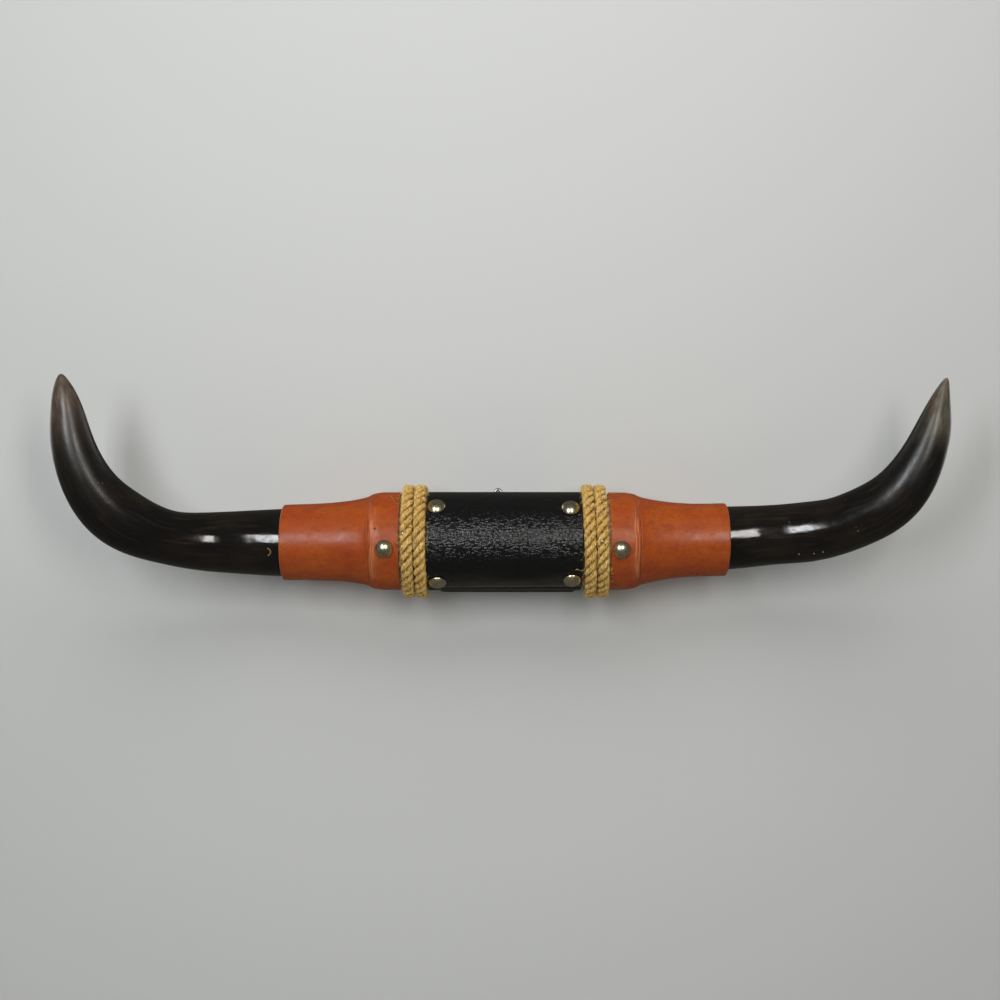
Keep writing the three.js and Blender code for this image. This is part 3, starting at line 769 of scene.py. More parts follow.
@dataclass(frozen=True)
class HornFinish:
    """Scraped and polished horn: near black, with brown and olive depth towards the tip."""

    name: str
    tip_colour: Colour
    tip_fade: Pair
    marks: tuple[Sight, ...] = ()
    mark_colour: Colour = (0.42, 0.36, 0.27, 1)
    mark_radius: float = 0.55 * MM
    dark: Colour = (0.0042, 0.0036, 0.0033, 1)
    brown: Colour = (0.0125, 0.0088, 0.0062, 1)
    streak: Colour = (0.030, 0.020, 0.014, 1)
    ember: Colour = (0.16, 0.062, 0.028, 1)
    chip_colour: Colour = (0.15, 0.125, 0.10, 1)
    tip_drift: float = 60 * MM
    tip_lean: float = -9 * MM
    gloss: Pair = (0.09, 0.19)
    dulled_tip: float = 0.22
    dulled_reach: Pair = (150 * MM, 55 * MM)
    clouds: Pattern = Pattern((22, 46, 46), 5, 0.6)
    streaks: Pattern = Pattern((26, 420, 420), 6, 0.65)
    veins: Pattern = Pattern((18, 300, 300), 3, shift=(1, 4, 2))
    chips: Point = (150, 210, 210)
    chip_places: Pattern = Pattern((35, 60, 60), 2, shift=(7, 3, 5))
    rubbing: Pattern = Pattern((60, 160, 160), 4, 0.7)
    lumps: Pattern = Pattern((60, 90, 90), 2, depth=0.25 * MM)
    scratches: Pattern = Pattern((70, 2600, 2600), 3, 0.6, depth=0.007 * MM)
    pits: Point = (420, 600, 600)
    pit_places: Pattern = Pattern((30, 40, 40), 2, depth=0.035 * MM, shift=(3, 1, 2))

    def coloured(self, s: Shading, unrolled: NodeSocket) -> NodeSocket:
        """The horn's colour.

        Args:
            s: The material's tree.
            unrolled: The horn's unrolled space.

        Returns:
            The colour, with the tip's fade, the chips and the marks in it.
        """
        clouds, streaks = s.noise(unrolled, self.clouds), s.noise(unrolled, self.streaks)
        body = s.mixed(s.between(clouds, 0.42, 0.72), self.dark, self.brown)
        body = s.mixed(s.between(streaks, 0.5, 0.8), body, self.streak)
        drift = s.product(s.math("SUBTRACT", clouds, 0.5), self.tip_drift)
        lean = s.product(s.stored("outer_side"), self.tip_lean)
        reach = s.math("ADD", s.stored("from_tip"), s.math("ADD", drift, lean))
        tip = s.mixed(s.between(streaks, 0.35, 0.65), self.tip_colour, shaded(self.tip_colour, 0.45))
        tip = s.mixed(s.between(s.noise(unrolled, self.veins), 0.6, 0.72, (0, 0.55)), tip, self.ember)
        colour = s.mixed(s.between(reach, *self.tip_fade), body, tip)
        rare = s.between(s.noise(unrolled, self.chip_places), 0.6, 0.66)
        chip = s.product(s.between(s.cells(unrolled, self.chips), 0.11, 0.05), rare)
        colour = s.mixed(chip, colour, self.chip_colour)
        return s.mixed(s.sighted(self.marks, self.mark_radius), colour, self.mark_colour)

    def build(self) -> Material:
        """Builds the material on the horn's unrolled space and the distance from its tip."""
        s = Shading(self.name)
        unrolled = s.stored("unrolled", vector=True)
        gloss = s.between(s.noise(unrolled, self.rubbing), 0.35, 0.75, self.gloss)
        dulled = s.between(s.stored("from_tip"), *self.dulled_reach)
        gloss = s.math("ADD", gloss, s.product(dulled, self.dulled_tip))
        pitted = s.between(s.noise(unrolled, self.pit_places), 0.56, 0.66)
        pits = s.product(s.between(s.cells(unrolled, self.pits), 0.34, 0.1), pitted)
        normal = s.bumped(s.noise(unrolled, self.lumps), self.lumps.depth)
        normal = s.bumped(s.noise(unrolled, self.scratches), self.scratches.depth, normal)
        normal = s.bumped(s.math("SUBTRACT", 1.0, pits), self.pit_places.depth, normal)
        return s.surface(Base_Color=self.coloured(s, unrolled), Roughness=gloss, IOR=1.55, Normal=normal)


@dataclass(frozen=True)
class TanLeatherFinish:
    """Russet tan leather, waxed: mottled and finely grained, paler at its cut edges, partly as a painted highlight,
    and wrinkled at the fold, with painted highlights on the wrinkles and painted shade in the fold's crease and the
    awl prick.
    """

    awl_hole: Sight
    name: str = "tan_leather"
    russet: Colour = (0.325, 0.052, 0.0085, 1)
    orange: Colour = (0.375, 0.075, 0.008, 1)
    worn: Colour = (0.22, 0.038, 0.010, 1)
    cut_edge: Colour = (0.50, 0.20, 0.085, 1)
    stretched_skin: Colour = (0.56, 0.21, 0.095, 1)
    hole: Colour = (0.035, 0.008, 0.004, 1)
    hole_radius: float = 0.85 * MM
    hole_depth: float = 0.4 * MM
    mottle: Pattern = Pattern((40, 70, 70), 6, 0.68)
    specks: Pattern = Pattern(420, 5, 0.7)
    blotches: Pattern = Pattern((95, 150, 150), 6, 0.72, shift=(3, 7, 1))
    grain: Pattern = Pattern(900, 5, 0.6, 0.045 * MM)
    pores: Point = (1500, 1500, 1500)
    pore_depth: float = 0.02 * MM
    wrinkles: Pattern = Pattern((1300, 70, 70), 4, 0.6, 0.12 * MM)
    waxing: Pattern = Pattern(120, 6, 0.75)
    gloss: Pair = (0.25, 0.46)

    def build(self) -> Material:
        """Builds the material on object coordinates, with the stored masks of the edge, the fold and the painted
        shade in the fold's crease.
        """
        s = Shading(self.name)
        place = s.place()
        fold, wrinkles = s.stored("fold"), s.noise(place, self.wrinkles)
        pierced = s.sighted((self.awl_hole,), self.hole_radius)
        colour = s.mixed(s.between(s.noise(place, self.mottle), 0.36, 0.66), self.russet, self.orange)
        colour = s.mixed(s.between(s.noise(place, self.specks), 0.46, 0.72, (0, 0.85)), colour, self.worn)
        colour = s.mixed(s.between(s.noise(place, self.blotches), 0.5, 0.68, (0, 0.6)), colour, self.worn)
        # Painted highlight: pale lines on the wrinkles beside the fold.
        highlight_lines = s.product(s.between(wrinkles, 0.44, 0.6, (0.1, 0.9)), fold)
        masks = ((highlight_lines, self.stretched_skin), (s.stored("edge"), self.cut_edge))
        # The cut edge's paler colour is partly a painted highlight; the fold's crease and the awl prick are darkened
        # as painted shade.
        for mask, over in (*masks, (s.stored("groove"), self.hole), (pierced, self.hole)):
            colour = s.mixed(mask, colour, over)
        normal = s.bumped(s.noise(place, self.grain), self.grain.depth)
        normal = s.bumped(s.between(s.cells(place, self.pores), 0.0, 0.4), self.pore_depth, normal)
        normal = s.bumped(s.product(wrinkles, fold), self.wrinkles.depth, normal)
        normal = s.bumped(s.math("SUBTRACT", 1.0, pierced), self.hole_depth, normal)
        gloss = s.between(s.noise(place, self.waxing), 0.3, 0.75, self.gloss)
        return s.surface(Base_Color=colour, Roughness=gloss, IOR=1.5, Specular_IOR_Level=0.32, Normal=normal)


@dataclass(frozen=True)
class BlackLeatherFinish:
    """Black pebbled leather, with a paler cut edge that is partly a painted highlight, and a painted reflection low
    on the front above the lap edge.
    """

    name: str = "black_leather"
    black: Colour = (0.0048, 0.0046, 0.0050, 1)
    rubbed: Colour = (0.016, 0.0155, 0.0165, 1)
    dusty: Colour = (0.030, 0.029, 0.022, 1)
    cut: Colour = (0.26, 0.25, 0.21, 1)
    pebbles: Point = (480, 640, 640)
    pebble_depth: float = 0.24 * MM
    creases: Pattern = Pattern((240, 720, 720), 5, 0.65, 0.13 * MM)
    grain: Pattern = Pattern((900, 1800, 1800), 3, depth=0.02 * MM)
    patches: Pattern = Pattern((26, 60, 60), 4, 0.6)
    gloss: Pair = (0.23, 0.15)

    def build(self) -> Material:
        """Builds the material on object coordinates, with the stored masks of the edge and of the painted reflection
        above it.
        """
        s = Shading(self.name)
        place = s.place()
        pebbles = s.cells(s.jostled(place, 500.0, 0.5 * MM), self.pebbles, random=0.95)
        rounded = s.between(pebbles, 0.7, 0.1)
        patches = s.noise(place, self.patches)
        top = s.product(s.between(rounded, 0.55, 0.95), s.between(patches, 0.4, 0.7))
        colour = s.mixed(top, self.black, self.rubbed)
        # Paler low on the front, above the lap edge: a painted reflection of the wall.
        colour = s.mixed(s.product(s.stored("dust"), s.between(patches, 0.3, 0.6)), colour, self.dusty)
        # The pale cut edge is partly a painted highlight along the lap edge.
        colour = s.mixed(s.stored("edge"), colour, self.cut)
        normal = s.bumped(rounded, self.pebble_depth)
        for pattern in (self.creases, self.grain):
            normal = s.bumped(s.noise(place, pattern), pattern.depth, normal)
        gloss = s.between(patches, 0.35, 0.7, self.gloss)
        return s.surface(Base_Color=colour, Roughness=gloss, IOR=1.5, Specular_IOR_Level=0.5, Normal=normal)


@dataclass(frozen=True)
class RopeFinish:
    """Straw-coloured plant fibre, laid in strands of yarns."""

    name: str = "rope_fibre"
    crevice: Pair = (2.7 * MM, 4.0 * MM)
    straw: Colour = (1.0, 0.59, 0.125, 1)
    pale: Colour = (1.0, 0.80, 0.34, 1)
    brown: Colour = (0.70, 0.31, 0.050, 1)
    shade: Colour = (0.16, 0.062, 0.013, 1)
    fibres: Pattern = Pattern((260, 11, 11), 6, 0.75, 0.8 * MM)
    bundles: Pattern = Pattern((150, 3.2, 3.2), 5, 0.7)
    speckle: Pattern = Pattern((620, 520, 420), 5, 0.75, 0.9 * MM)

    def build(self) -> Material:
        """Builds the material on the stored places along and round each strand."""
        s = Shading(self.name)
        around = s.add("ShaderNodeSeparateXYZ", {"Vector": s.stored("around", vector=True)}).outputs
        apart = s.math("ADD", around[1], s.product(s.stored("strand"), 7.0))
        lay = s.joined(s.stored("along"), around[0], apart)
        fibres, speckle = s.noise(lay, self.fibres), s.noise(s.place(), self.speckle)
        colour = s.mixed(s.between(fibres, 0.36, 0.56), self.brown, self.straw)
        colour = s.mixed(s.between(s.noise(lay, self.bundles), 0.48, 0.62, (0, 0.9)), colour, self.pale)
        # Painted shade: the grooves between the yarns, the gaps between the strands and the dark specks are mixed
        # towards the shade colour.
        groove = s.between(around[2], 0.0, 0.6, (0.4, 0.0))
        crevice = s.between(s.stored("reach"), *self.crevice, (0.55, 0.0))
        colour = s.mixed(s.math("MAXIMUM", groove, crevice), colour, self.shade)
        colour = s.mixed(s.between(speckle, 0.53, 0.62, (0, 0.85)), colour, self.pale)
        colour = s.mixed(s.between(speckle, 0.46, 0.36, (0, 0.9)), colour, self.shade)
        colour = s.mixed(s.product(s.stored("hair"), 0.6), colour, self.pale)
        normal = s.bumped(speckle, self.speckle.depth, s.bumped(fibres, self.fibres.depth))
        return s.surface(Base_Color=colour, Roughness=0.45, Specular_IOR_Level=0.25, Normal=normal)


@dataclass(frozen=True)
class MetalFinish:
    """A metal with a little tarnish and fine wear."""

    name: str
    clean: Colour
    dull: Colour
    gloss: Pair
    tarnish: Pattern = Pattern(420, 6, 0.65)
    wear: Pattern = Pattern(1500, 4, 0.6)
    dents: Pattern = Pattern(900, 3, depth=0.012 * MM)

    def build(self) -> Material:
        """Builds the material on object coordinates."""
        s = Shading(self.name)
        place = s.place()
        colour = s.mixed(s.between(s.noise(place, self.tarnish), 0.42, 0.72), self.clean, self.dull)
        gloss = s.between(s.noise(place, self.wear), 0.3, 0.8, self.gloss)
        normal = s.bumped(s.noise(place, self.dents), self.dents.depth)
        return s.surface(Base_Color=colour, Metallic=1.0, Roughness=gloss, Normal=normal)


@dataclass(frozen=True)
class WoodFinish:
    """Wood with its grain along the core: bare, or stained."""

    name: str
    early: Colour
    late: Colour
    roughness: float
    rings: Point = (4, 34, 60)
    pores: Pattern = Pattern((110, 1500, 1500), 4, 0.65, 0.12 * MM)

    def build(self) -> Material:
        """Builds the material on object coordinates."""
        s = Shading(self.name)
        place = s.place()
        vector = s.stretched(s.jostled(place, 9.0, 30 * MM), self.rings)
        inputs = {"Vector": vector, "Scale": 1.0, "Distortion": 1.6, "Detail": 3.0}
        rings = s.add("ShaderNodeTexWave", inputs, bands_direction="Z").outputs["Fac"]
        pores = s.noise(place, self.pores)
        colour = s.mixed(s.between(rings, 0.25, 0.95), self.early, self.late)
        colour = s.mixed(s.between(pores, 0.54, 0.72, (0, 0.7)), colour, shaded(self.late, 0.45))
        normal = s.bumped(pores, self.pores.depth)
        return s.surface(Base_Color=colour, Roughness=self.roughness, Normal=normal)


@dataclass(frozen=True)
class StageFinish:
    """The plain pale paint of the wall and the floor; the wall can be looked through from behind."""

    name: str
    colour: Colour
    one_sided: bool

    def build(self) -> Material:
        """Builds the material."""
        s = Shading(self.name)
        paint = s.add("ShaderNodeBsdfPrincipled", {"Base Color": self.colour, "Roughness": 0.85})
        if not self.one_sided:
            return s.done(paint)
        behind = s.add("ShaderNodeNewGeometry").outputs["Backfacing"]
        clear = s.add("ShaderNodeBsdfTransparent")
        return s.done(s.add("ShaderNodeMixShader", {0: behind, 1: paint.outputs[0], 2: clear.outputs[0]}))


# The camera, and places read from its picture


@dataclass(frozen=True)
class Viewpoint:
    """The camera of the photograph: it looks straight at the wall, a little left of the middle."""

    place: Point = (-3.24 * MM, -1.027, 29.5 * MM)
    lens_mm: float = 49.32
    sensor_mm: float = 36.0
    pixels: int = 1000

    def build(self) -> None:
        """Makes the camera and the scene's view of colours."""
        data = bpy.data.cameras.new("camera")
        data.lens = self.lens_mm
        data.sensor_width = self.sensor_mm
        data.clip_start, data.clip_end = 0.01, 40
        camera = bpy.data.objects.new("camera", data)
        camera.location = self.place
        camera.rotation_euler = (math.pi / 2, 0, 0)
        bpy.context.scene.collection.objects.link(camera)
        bpy.context.scene.camera = camera
        bpy.context.scene.view_settings.view_transform = "Standard"

    def sight(self, px: float, py: float) -> Sight:
        """The line of sight of a pixel.

        Args:
            px: The pixel's column.
            py: The pixel's row.

        Returns:
            The camera's place, and a way of length 1.
        """
        scale = self.sensor_mm / self.lens_mm / self.pixels
        way = Vector(((px - self.pixels / 2) * scale, 1.0, (self.pixels / 2 - py) * scale))
        return Vector(self.place), way.normalized()

    def on_core(self, px: float, py: float, radius: float) -> Vector:
        """Where the line of sight of a pixel first meets a cylinder round the core's axis.

        Args:
            px: The pixel's column.
            py: The pixel's row.
            radius: The cylinder's radius.

        Returns:
            The point, or the nearest one where the line passes beside the cylinder.
        """
        start, way = self.sight(px, py)
        y, z = start.y - AXIS_Y, start.z
        a, b, c = way.y**2 + way.z**2, y * way.y + z * way.z, y * y + z * z - radius * radius
        root = math.sqrt(max(0.0, b * b - a * c))
        return start + way * ((-b - root) / a)


# The horns


@dataclass
class Horn:
    """One grown horn, from its base inside the sleeve to its tip.

    Stations are in millimetres: distance from the middle, forward of the core's axis, height, half width
    across the bend and half depth.
    """

    hand: Hand
    base: Sequence[Pair]
    drift: Pair
    stations: Sequence[tuple[float, float, float, float, float]]
    tip: Point
    finish: HornFinish
    mark_pixels: Sequence[Pair]
    sides: int = 96
    rings: int = 290
    tip_rings: int = 26
    tip_reach: float = 12 * MM
    base_end: float = 95.5
    sleeve_end: float = 158.2
    lump: float = 0.16 * MM
    lumps_start: Pair = (60 * MM, 80 * MM)

    def table(self) -> np.ndarray:
        """Every station, those inside the sleeve first, with the half widths as squares, which rounds the tip.

        Returns:
            One row for each station, in metres.
        """
        forward, up = self.drift
        rows = []
        for along, radius in self.base:
            share = (along - self.base_end) / (self.sleeve_end - self.base_end)
            rows.append((along, forward * share**2, up * share, radius, radius))
        table = np.array([*rows, *self.stations, (*self.tip, 0, 0)]) * MM
        table[:, 3:] **= 2
        return table

    def build(self, view: Viewpoint) -> Object:
        """Lofts the horn and stores what its finish reads.

        Args:
            view: The camera, whose picture gives the places of the marks.

        Returns:
            The horn.
        """
        table = self.table()
        steps = np.linalg.norm(np.diff(table[:, :3], axis=0), axis=1)
        places = np.concatenate([[0], np.cumsum(steps)])
        near_tip = places[-1] - self.tip_reach * (1 - np.linspace(0, 1, self.tip_rings)) ** 2
        along = np.concatenate([np.linspace(0, near_tip[0], self.rings)[:-1], near_tip])
        rows = spline(places, table, along)
        centres = np.stack([self.hand.value * rows[:, 0], AXIS_Y - rows[:, 1], rows[:, 2]], axis=-1)
        tangents = np.gradient(centres, along, axis=0)
        tangents /= np.linalg.norm(tangents, axis=1)[:, None]
        across, deep = np.sqrt(np.maximum(rows[:, 3:], 1e-12)).T

        outward = np.cross(tangents, (0, -self.hand.value, 0))
        outward /= np.linalg.norm(outward, axis=1)[:, None]
        forward = np.cross(outward, tangents)
        angle = np.linspace(0, 2 * math.pi, self.sides, endpoint=False)
        uneven = self.lump * ripple(along[:, None], angle[None, :], 2.0 + self.hand.value)
        uneven *= smooth(along, *self.lumps_start)[:, None] * (across / across.max())[:, None]
        wide = (across[:, None] + uneven) * np.cos(angle)
        thick = (deep[:, None] + uneven) * np.sin(angle)
        rings = centres[:, None] + wide[..., None] * outward[:, None] + thick[..., None] * forward[:, None]

        piece = skin(f"horn_{self.hand.word}_polished", rings[:-1], Ends.FAN)
        piece.data.vertices[-1].co = centres[-1]
        girth = 0.5 * (across + deep)[:, None]
        lengths = np.broadcast_to(along[:, None], wide.shape)
        space = np.stack([lengths, girth * np.cos(angle), girth * np.sin(angle)], axis=-1)[:-1]
        note(piece, "unrolled", space.reshape(-1, 3))
        note(piece, "from_tip", np.repeat(along[-1] - along[:-1], self.sides))
        note(piece, "outer_side", np.tile(np.cos(angle), len(along) - 1))
        finish = replace(self.finish, marks=tuple(view.sight(*pixel) for pixel in self.mark_pixels))
        return dressed(piece, finish.build(), [f"horn_{self.hand.word}"])


# The leather


@dataclass
class Strip:
    """A strip of leather wrapped round the core, whose outer edge lies on its tucked one."""

    leather: float
    edge_angle: float
    lap_angle: float
    feather: float = 0.3 * MM
    thinned_share: float = 0.5
    step_angle: float = 12
    climb_angle: float = 8
    past_climb_angle: float = 4
    edge_round_angle: float = 1.6
    edge_round_share: float = 0.6
    edge_seen_angle: float = 0.9
    places: int = 200
    lip_places: int = 10
    climb_places: int = 14

    @property
    def end(self) -> float:
        """The strip's length round the core, in degrees."""
        return 360 + self.lap_angle

    def travel(self) -> np.ndarray:
        """Places round the strip, closer together at its edges.

        Returns:
            The places, in degrees from its tucked end.
        """
        even = np.linspace(0, self.end, self.places - self.lip_places - self.climb_places)
        rounding = np.cos(np.linspace(0, math.pi / 2, self.lip_places))
        lip = self.end - self.edge_round_angle * (1 - rounding)
        near = np.linspace(360 - self.climb_angle, 360 + self.past_climb_angle, self.climb_places)
        return np.unique(np.concatenate([even, lip, near]))[: self.places]

    def turned(self, travel: np.ndarray) -> np.ndarray:
        """The angles from the front, upwards, in radians, of places round the strip."""
        return np.radians(self.edge_angle + self.lap_angle - travel)

    def heights(self, travel: np.ndarray) -> tuple[np.ndarray, np.ndarray]:
        """How far the inside and the outside stand off what the strip covers.

        Args:
            travel: Places round the strip, in degrees.

        Returns:
            The inside's and the outside's heights.
        """
        thinned = self.leather * self.thinned_share
        over = [0, self.lap_angle, self.lap_angle + self.step_angle, self.end]
        outside = eased(over, [self.feather, thinned, self.leather, self.leather], travel)
        under = [0, 360 - self.climb_angle, 360, self.end]
        inside = eased(under, [0, 1e-7, self.feather + GAP, thinned + GAP], travel)
        lip = np.clip((travel - (self.end - self.edge_round_angle)) / self.edge_round_angle, 0, 1)
        thick = outside - inside
        return inside, outside - self.edge_round_share * thick * (1 - np.sqrt(1 - lip**2))

    def edge_mask(self, travel: np.ndarray) -> np.ndarray:
        """1 at the strip's outer cut edge, 0 away from it."""
        return smooth(travel, self.end - self.edge_seen_angle, self.end - 0.3 * self.edge_seen_angle)


def burnished(ends: Pair, edge: float, inner: int) -> tuple[np.ndarray, np.ndarray]:
    """Places along a piece whose two ends are rounded over.

    Args:
        ends: Where the piece starts and ends.
        edge: The radius of the rounding.
        inner: How many places there are between the roundings.

    Returns:
        The places, and how far the skin draws in at each.
    """
    turn = np.linspace(0, math.pi / 2, 7)
    first = ends[0] + edge * (1 - np.sin(turn))[::-1]
    last = ends[1] - edge * (1 - np.sin(turn))
    places = np.concatenate([first, np.linspace(ends[0] + edge, ends[1] - edge, inner)[1:-1], last])
    drawn = edge * (1 - np.cos(turn))
    return places, np.concatenate([drawn[::-1], np.zeros(inner - 2), drawn])


def note_outside(piece: Object, name: str, outside: np.ndarray, inside: float) -> None:
    """Stores a mask on a strip's outside, and one value all over its inside.

    Args:
        piece: The strip's mesh.
        name: The attribute's name.
        outside: The mask, for each place along and round the strip.
        inside: The value on the inside.
    """
    note(piece, name, np.concatenate([outside, np.full_like(outside, inside)], axis=1).ravel())


@dataclass
class Sleeve:
    """A tan leather sleeve, moulded over the end of the core and the base of the horn.

    The profile is in millimetres: distances from the middle, each with the radius of the outside there.
    """

    hand: Hand
    profile: Sequence[Pair]
    drift: Pair
    strip: Strip
    start: float = 74.1 * MM
    end: float = 158.2 * MM
    fold_place: float = 95.2 * MM
    fold_lean: float = 0.0
    fold_depth: float = 0.3 * MM
    fold_width: float = 0.32 * MM
    fold_wander: float = 0.22 * MM
    fold_dark: float = 0.55
    worked_width: float = 2.6 * MM
    step_height: float = 0.34 * MM
    step_width: float = 6 * MM
    core_end: float = 95.2 * MM
    edge: float = 1.0 * MM
    thinner_above: float = 0.45 * MM
    lump: float = 0.13 * MM
    stations: int = 100
    fold_stations: int = 44
    fold_reach: float = 3.2 * MM

    def stations_along(self) -> tuple[np.ndarray, np.ndarray]:
        """Places along the sleeve, closer together at its ends and its fold.

        Returns:
            The places, and how far the skin draws in at each.
        """
        along, drawn = burnished((self.start, self.end), self.edge, self.stations)
        first, last = self.fold_place - self.fold_reach, self.fold_place + self.fold_reach
        every = np.sort(np.concatenate([along, np.linspace(first, last, self.fold_stations)]))
        return every, np.interp(every, along, drawn)

    def build(self, material: Material) -> Object:
        """Lofts the sleeve and stores its masks of the edge, partly a painted highlight, of the fold, and of the
        painted shade in the fold's crease.

        Args:
            material: Its leather.

        Returns:
            The sleeve.
        """
        along, drawn = self.stations_along()
        travel = self.strip.travel()
        low, high = self.strip.heights(travel)
        places, radii = zip(*self.profile)
        covered = eased(np.array(places) * MM, np.array(radii) * MM, along) - self.strip.leather
        along_grid, turn = np.meshgrid(along, self.strip.turned(travel), indexing="ij")
        uneven = self.lump * ripple(along_grid, turn, 5.0 + self.hand.value)

        wander = self.fold_wander * np.sin(5 * turn + self.hand.value) + self.fold_lean * np.sin(turn)
        past_fold = along_grid - self.fold_place - wander
        fold = bell(past_fold, 0.15 * MM, self.fold_width) * smooth(np.cos(turn + 0.12), 0.45, 0.85)
        step = self.step_height * smooth(np.cos(turn), -0.2, 0.3)
        step = step * bell(np.minimum(past_fold + 1 * MM, 0), 0, self.step_width)
        step *= 1 - smooth(past_fold, -0.3 * MM, 0.35 * MM)

        outer = covered[:, None] + high[None, :] - drawn[:, None] + uneven - self.fold_depth * fold + step
        thinner = self.thinner_above * np.sin(turn) * smooth(along_grid, 0.1, 0.15)
        inner = covered[:, None] + low[None, :] + drawn[:, None] * 0.8 + 0.1 * MM + thinner
        share = np.clip((along - self.core_end) / (self.end - self.core_end), 0, 1)
        drift = (self.drift[0] * share**2)[:, None], (self.drift[1] * share)[:, None]
        x = self.hand.value * along_grid
        outside = round_axis(x, outer, turn, *drift)
        inside = round_axis(x, np.minimum(inner, outer - 0.25 * MM), turn, *drift)
        rings = np.concatenate([outside, inside[:, ::-1]], axis=1)

        piece = skin(f"sleeve_{self.hand.word}_leather", rings, Ends.STRIP)
        # The widened rim of the rounded ends carries the paler edge colour, partly a painted highlight where the rim
        # faces away from the light.
        rim = smooth(drawn, 0.05 * self.edge, 0.5 * self.edge)[:, None] + 0 * turn
        worked = bell(past_fold, -self.worked_width, self.worked_width)
        note_outside(piece, "edge", np.maximum(rim, self.strip.edge_mask(travel)[None, :]), 1)
        note_outside(piece, "fold", worked * smooth(np.cos(turn + 0.05), 0.55, 0.95), 0)
        # Painted shade in the fold's crease.
        note_outside(piece, "groove", self.fold_dark * fold, 0)
        return dressed(piece, material, [f"sleeve_{self.hand.word}"])


@dataclass(frozen=True)
class Crease:
    """A crease pressed into leather: its middle and half length along the core, its angle in degrees there,
    its slope in radians for a metre, and its size."""

    middle: float
    half_length: float
    angle: float
    slope: float
    depth: float
    width: float = 0.6 * MM
    lip_share: float = 0.55
    leather_radius: float = 35 * MM

    def depth_at(self, x: np.ndarray, turn: np.ndarray) -> np.ndarray:
        """How deep the crease is, with a lip thrown up on its upper side.

        Args:
            x: Places along the core.
            turn: Angles from the front, upwards, in radians.

        Returns:
            The depth at each place.
        """
        line = turn - math.radians(self.angle) - self.slope * (x - self.middle)
        fade = 1 - smooth(np.abs(x - self.middle), 0.5 * self.half_length, self.half_length)
        wide = self.width / self.leather_radius
        return self.depth * fade * (bell(line, 0, wide) - self.lip_share * bell(line, 1.7 * wide, wide))


@dataclass
class Wrap:
    """The black leather round the middle of the core, flat behind it where the board sits."""

    strip: Strip
    creases: Sequence[Crease]
    half_length: float = 54.8 * MM
    edge_skew: float = 3.5
    edge: float = 0.9 * MM
    rim_share: float = 0.35
    dusty_travel: Pair = (345, 378)
    lump: float = 0.09 * MM
    stations: int = 150

    def section(self, turn: np.ndarray, grown: np.ndarray) -> np.ndarray:
        """The radius of the core's section, round in front and flat behind.

        Args:
            turn: Angles from the front, in radians.
            grown: How far the section is grown.

        Returns:
            The radius at each angle.
        """
        backward = -np.cos(turn)
        seat = AXIS_TO_SEAT + GAP
        flat = np.where(backward > 0.1, seat / np.maximum(backward, 0.1), 1.0)
        return np.minimum(CORE_RADIUS + GAP + grown, flat * (seat + grown) / seat)

    def build(self, material: Material) -> Object:
        """Lofts the wrap and stores its masks of the cut edge, partly a painted highlight, and of the painted
        reflection above it.

        Args:
            material: Its leather.

        Returns:
            The wrap.
        """
        x, drawn = burnished((-self.half_length, self.half_length), self.edge, self.stations)
        travel = self.strip.travel()
        low, high = self.strip.heights(travel)
        x_grid, turn_grid = np.meshgrid(x, self.strip.turned(travel), indexing="ij")
        front = smooth(np.cos(turn_grid), -0.5, 0.2)
        skewed = turn_grid + np.radians(0.5 * self.edge_skew) * x_grid / self.half_length * front
        uneven = self.lump * ripple(x_grid, turn_grid, 9.0)
        pressed = sum(crease.depth_at(x_grid, skewed) for crease in self.creases)
        seen = smooth(np.cos(skewed), -0.3, 0.2)
        outer = self.section(skewed, high[None, :] - drawn[:, None] + (uneven - pressed) * seen)
        inner = np.minimum(self.section(skewed, low[None, :] + 0.6 * drawn[:, None]), outer - 0.2 * MM)
        sides = [round_axis(x_grid, radius, skewed) for radius in (outer, inner)]
        rings = np.concatenate([sides[0], sides[1][:, ::-1]], axis=1)

        piece = skin("center_wrap_leather", rings, Ends.STRIP)
        rim = smooth(drawn, 0.4 * self.edge, 0.95 * self.edge)[:, None] + 0 * turn_grid
        edge = np.maximum(self.rim_share * rim, self.strip.edge_mask(travel)[None, :])
        note_outside(piece, "edge", edge, 0)
        # Painted reflection: a paler band low on the front, above the lap edge.
        note_outside(piece, "dust", 0 * edge + smooth(travel, *self.dusty_travel)[None, :], 0)
        return dressed(piece, material, ["center_wrap"])


# The rope


@dataclass
class Brad:
    """A small nail that holds a rope, driven in between its strands at a pixel of the photograph."""

    name: str
    pixel: Pair
    head_radius: float = 0.85 * MM
    head_thick: float = 0.35 * MM
    shank_radius: float = 0.5 * MM
    length: float = 10 * MM
    depth: float = 1.0 * MM
    hollow_radius: float = 1.7 * MM
    hollow_depth: float = 1.5 * MM
    sides: int = 20

    def place(self, view: Viewpoint) -> Vector:
        """The place of the head, on the rope's round."""
        return view.on_core(*self.pixel, ROPE_TOP - self.depth)

    def build(self, view: Viewpoint, material: Material) -> Object:
        """Turns the brad and drives it in, square to the core.

        Args:
            view: The camera, whose picture gives the brad's place.
            material: Its metal.

        Returns:
            The brad.
        """
        head, turns = self.head_radius, np.linspace(0, math.pi / 2, 7)
        rise = [(head * math.cos(t), self.head_thick + 0.4 * head * math.sin(t)) for t in turns]
        foot = [(0.0, -self.length), (self.shank_radius, 2 * self.shank_radius - self.length)]
        profile = [*foot, (self.shank_radius, 0.0), (head, 0.0), *rise[:-1], (0.0, rise[-1][1])]
        piece = lathe(self.name, profile, self.sides)
        place = self.place(view)
        outward = Vector((0, place.y - AXIS_Y, place.z)).normalized()
        turn = outward.to_track_quat("Z", "X").to_matrix().to_4x4()
        turn.translation = place
        piece.data.transform(turn)
        return dressed(piece, material, [])


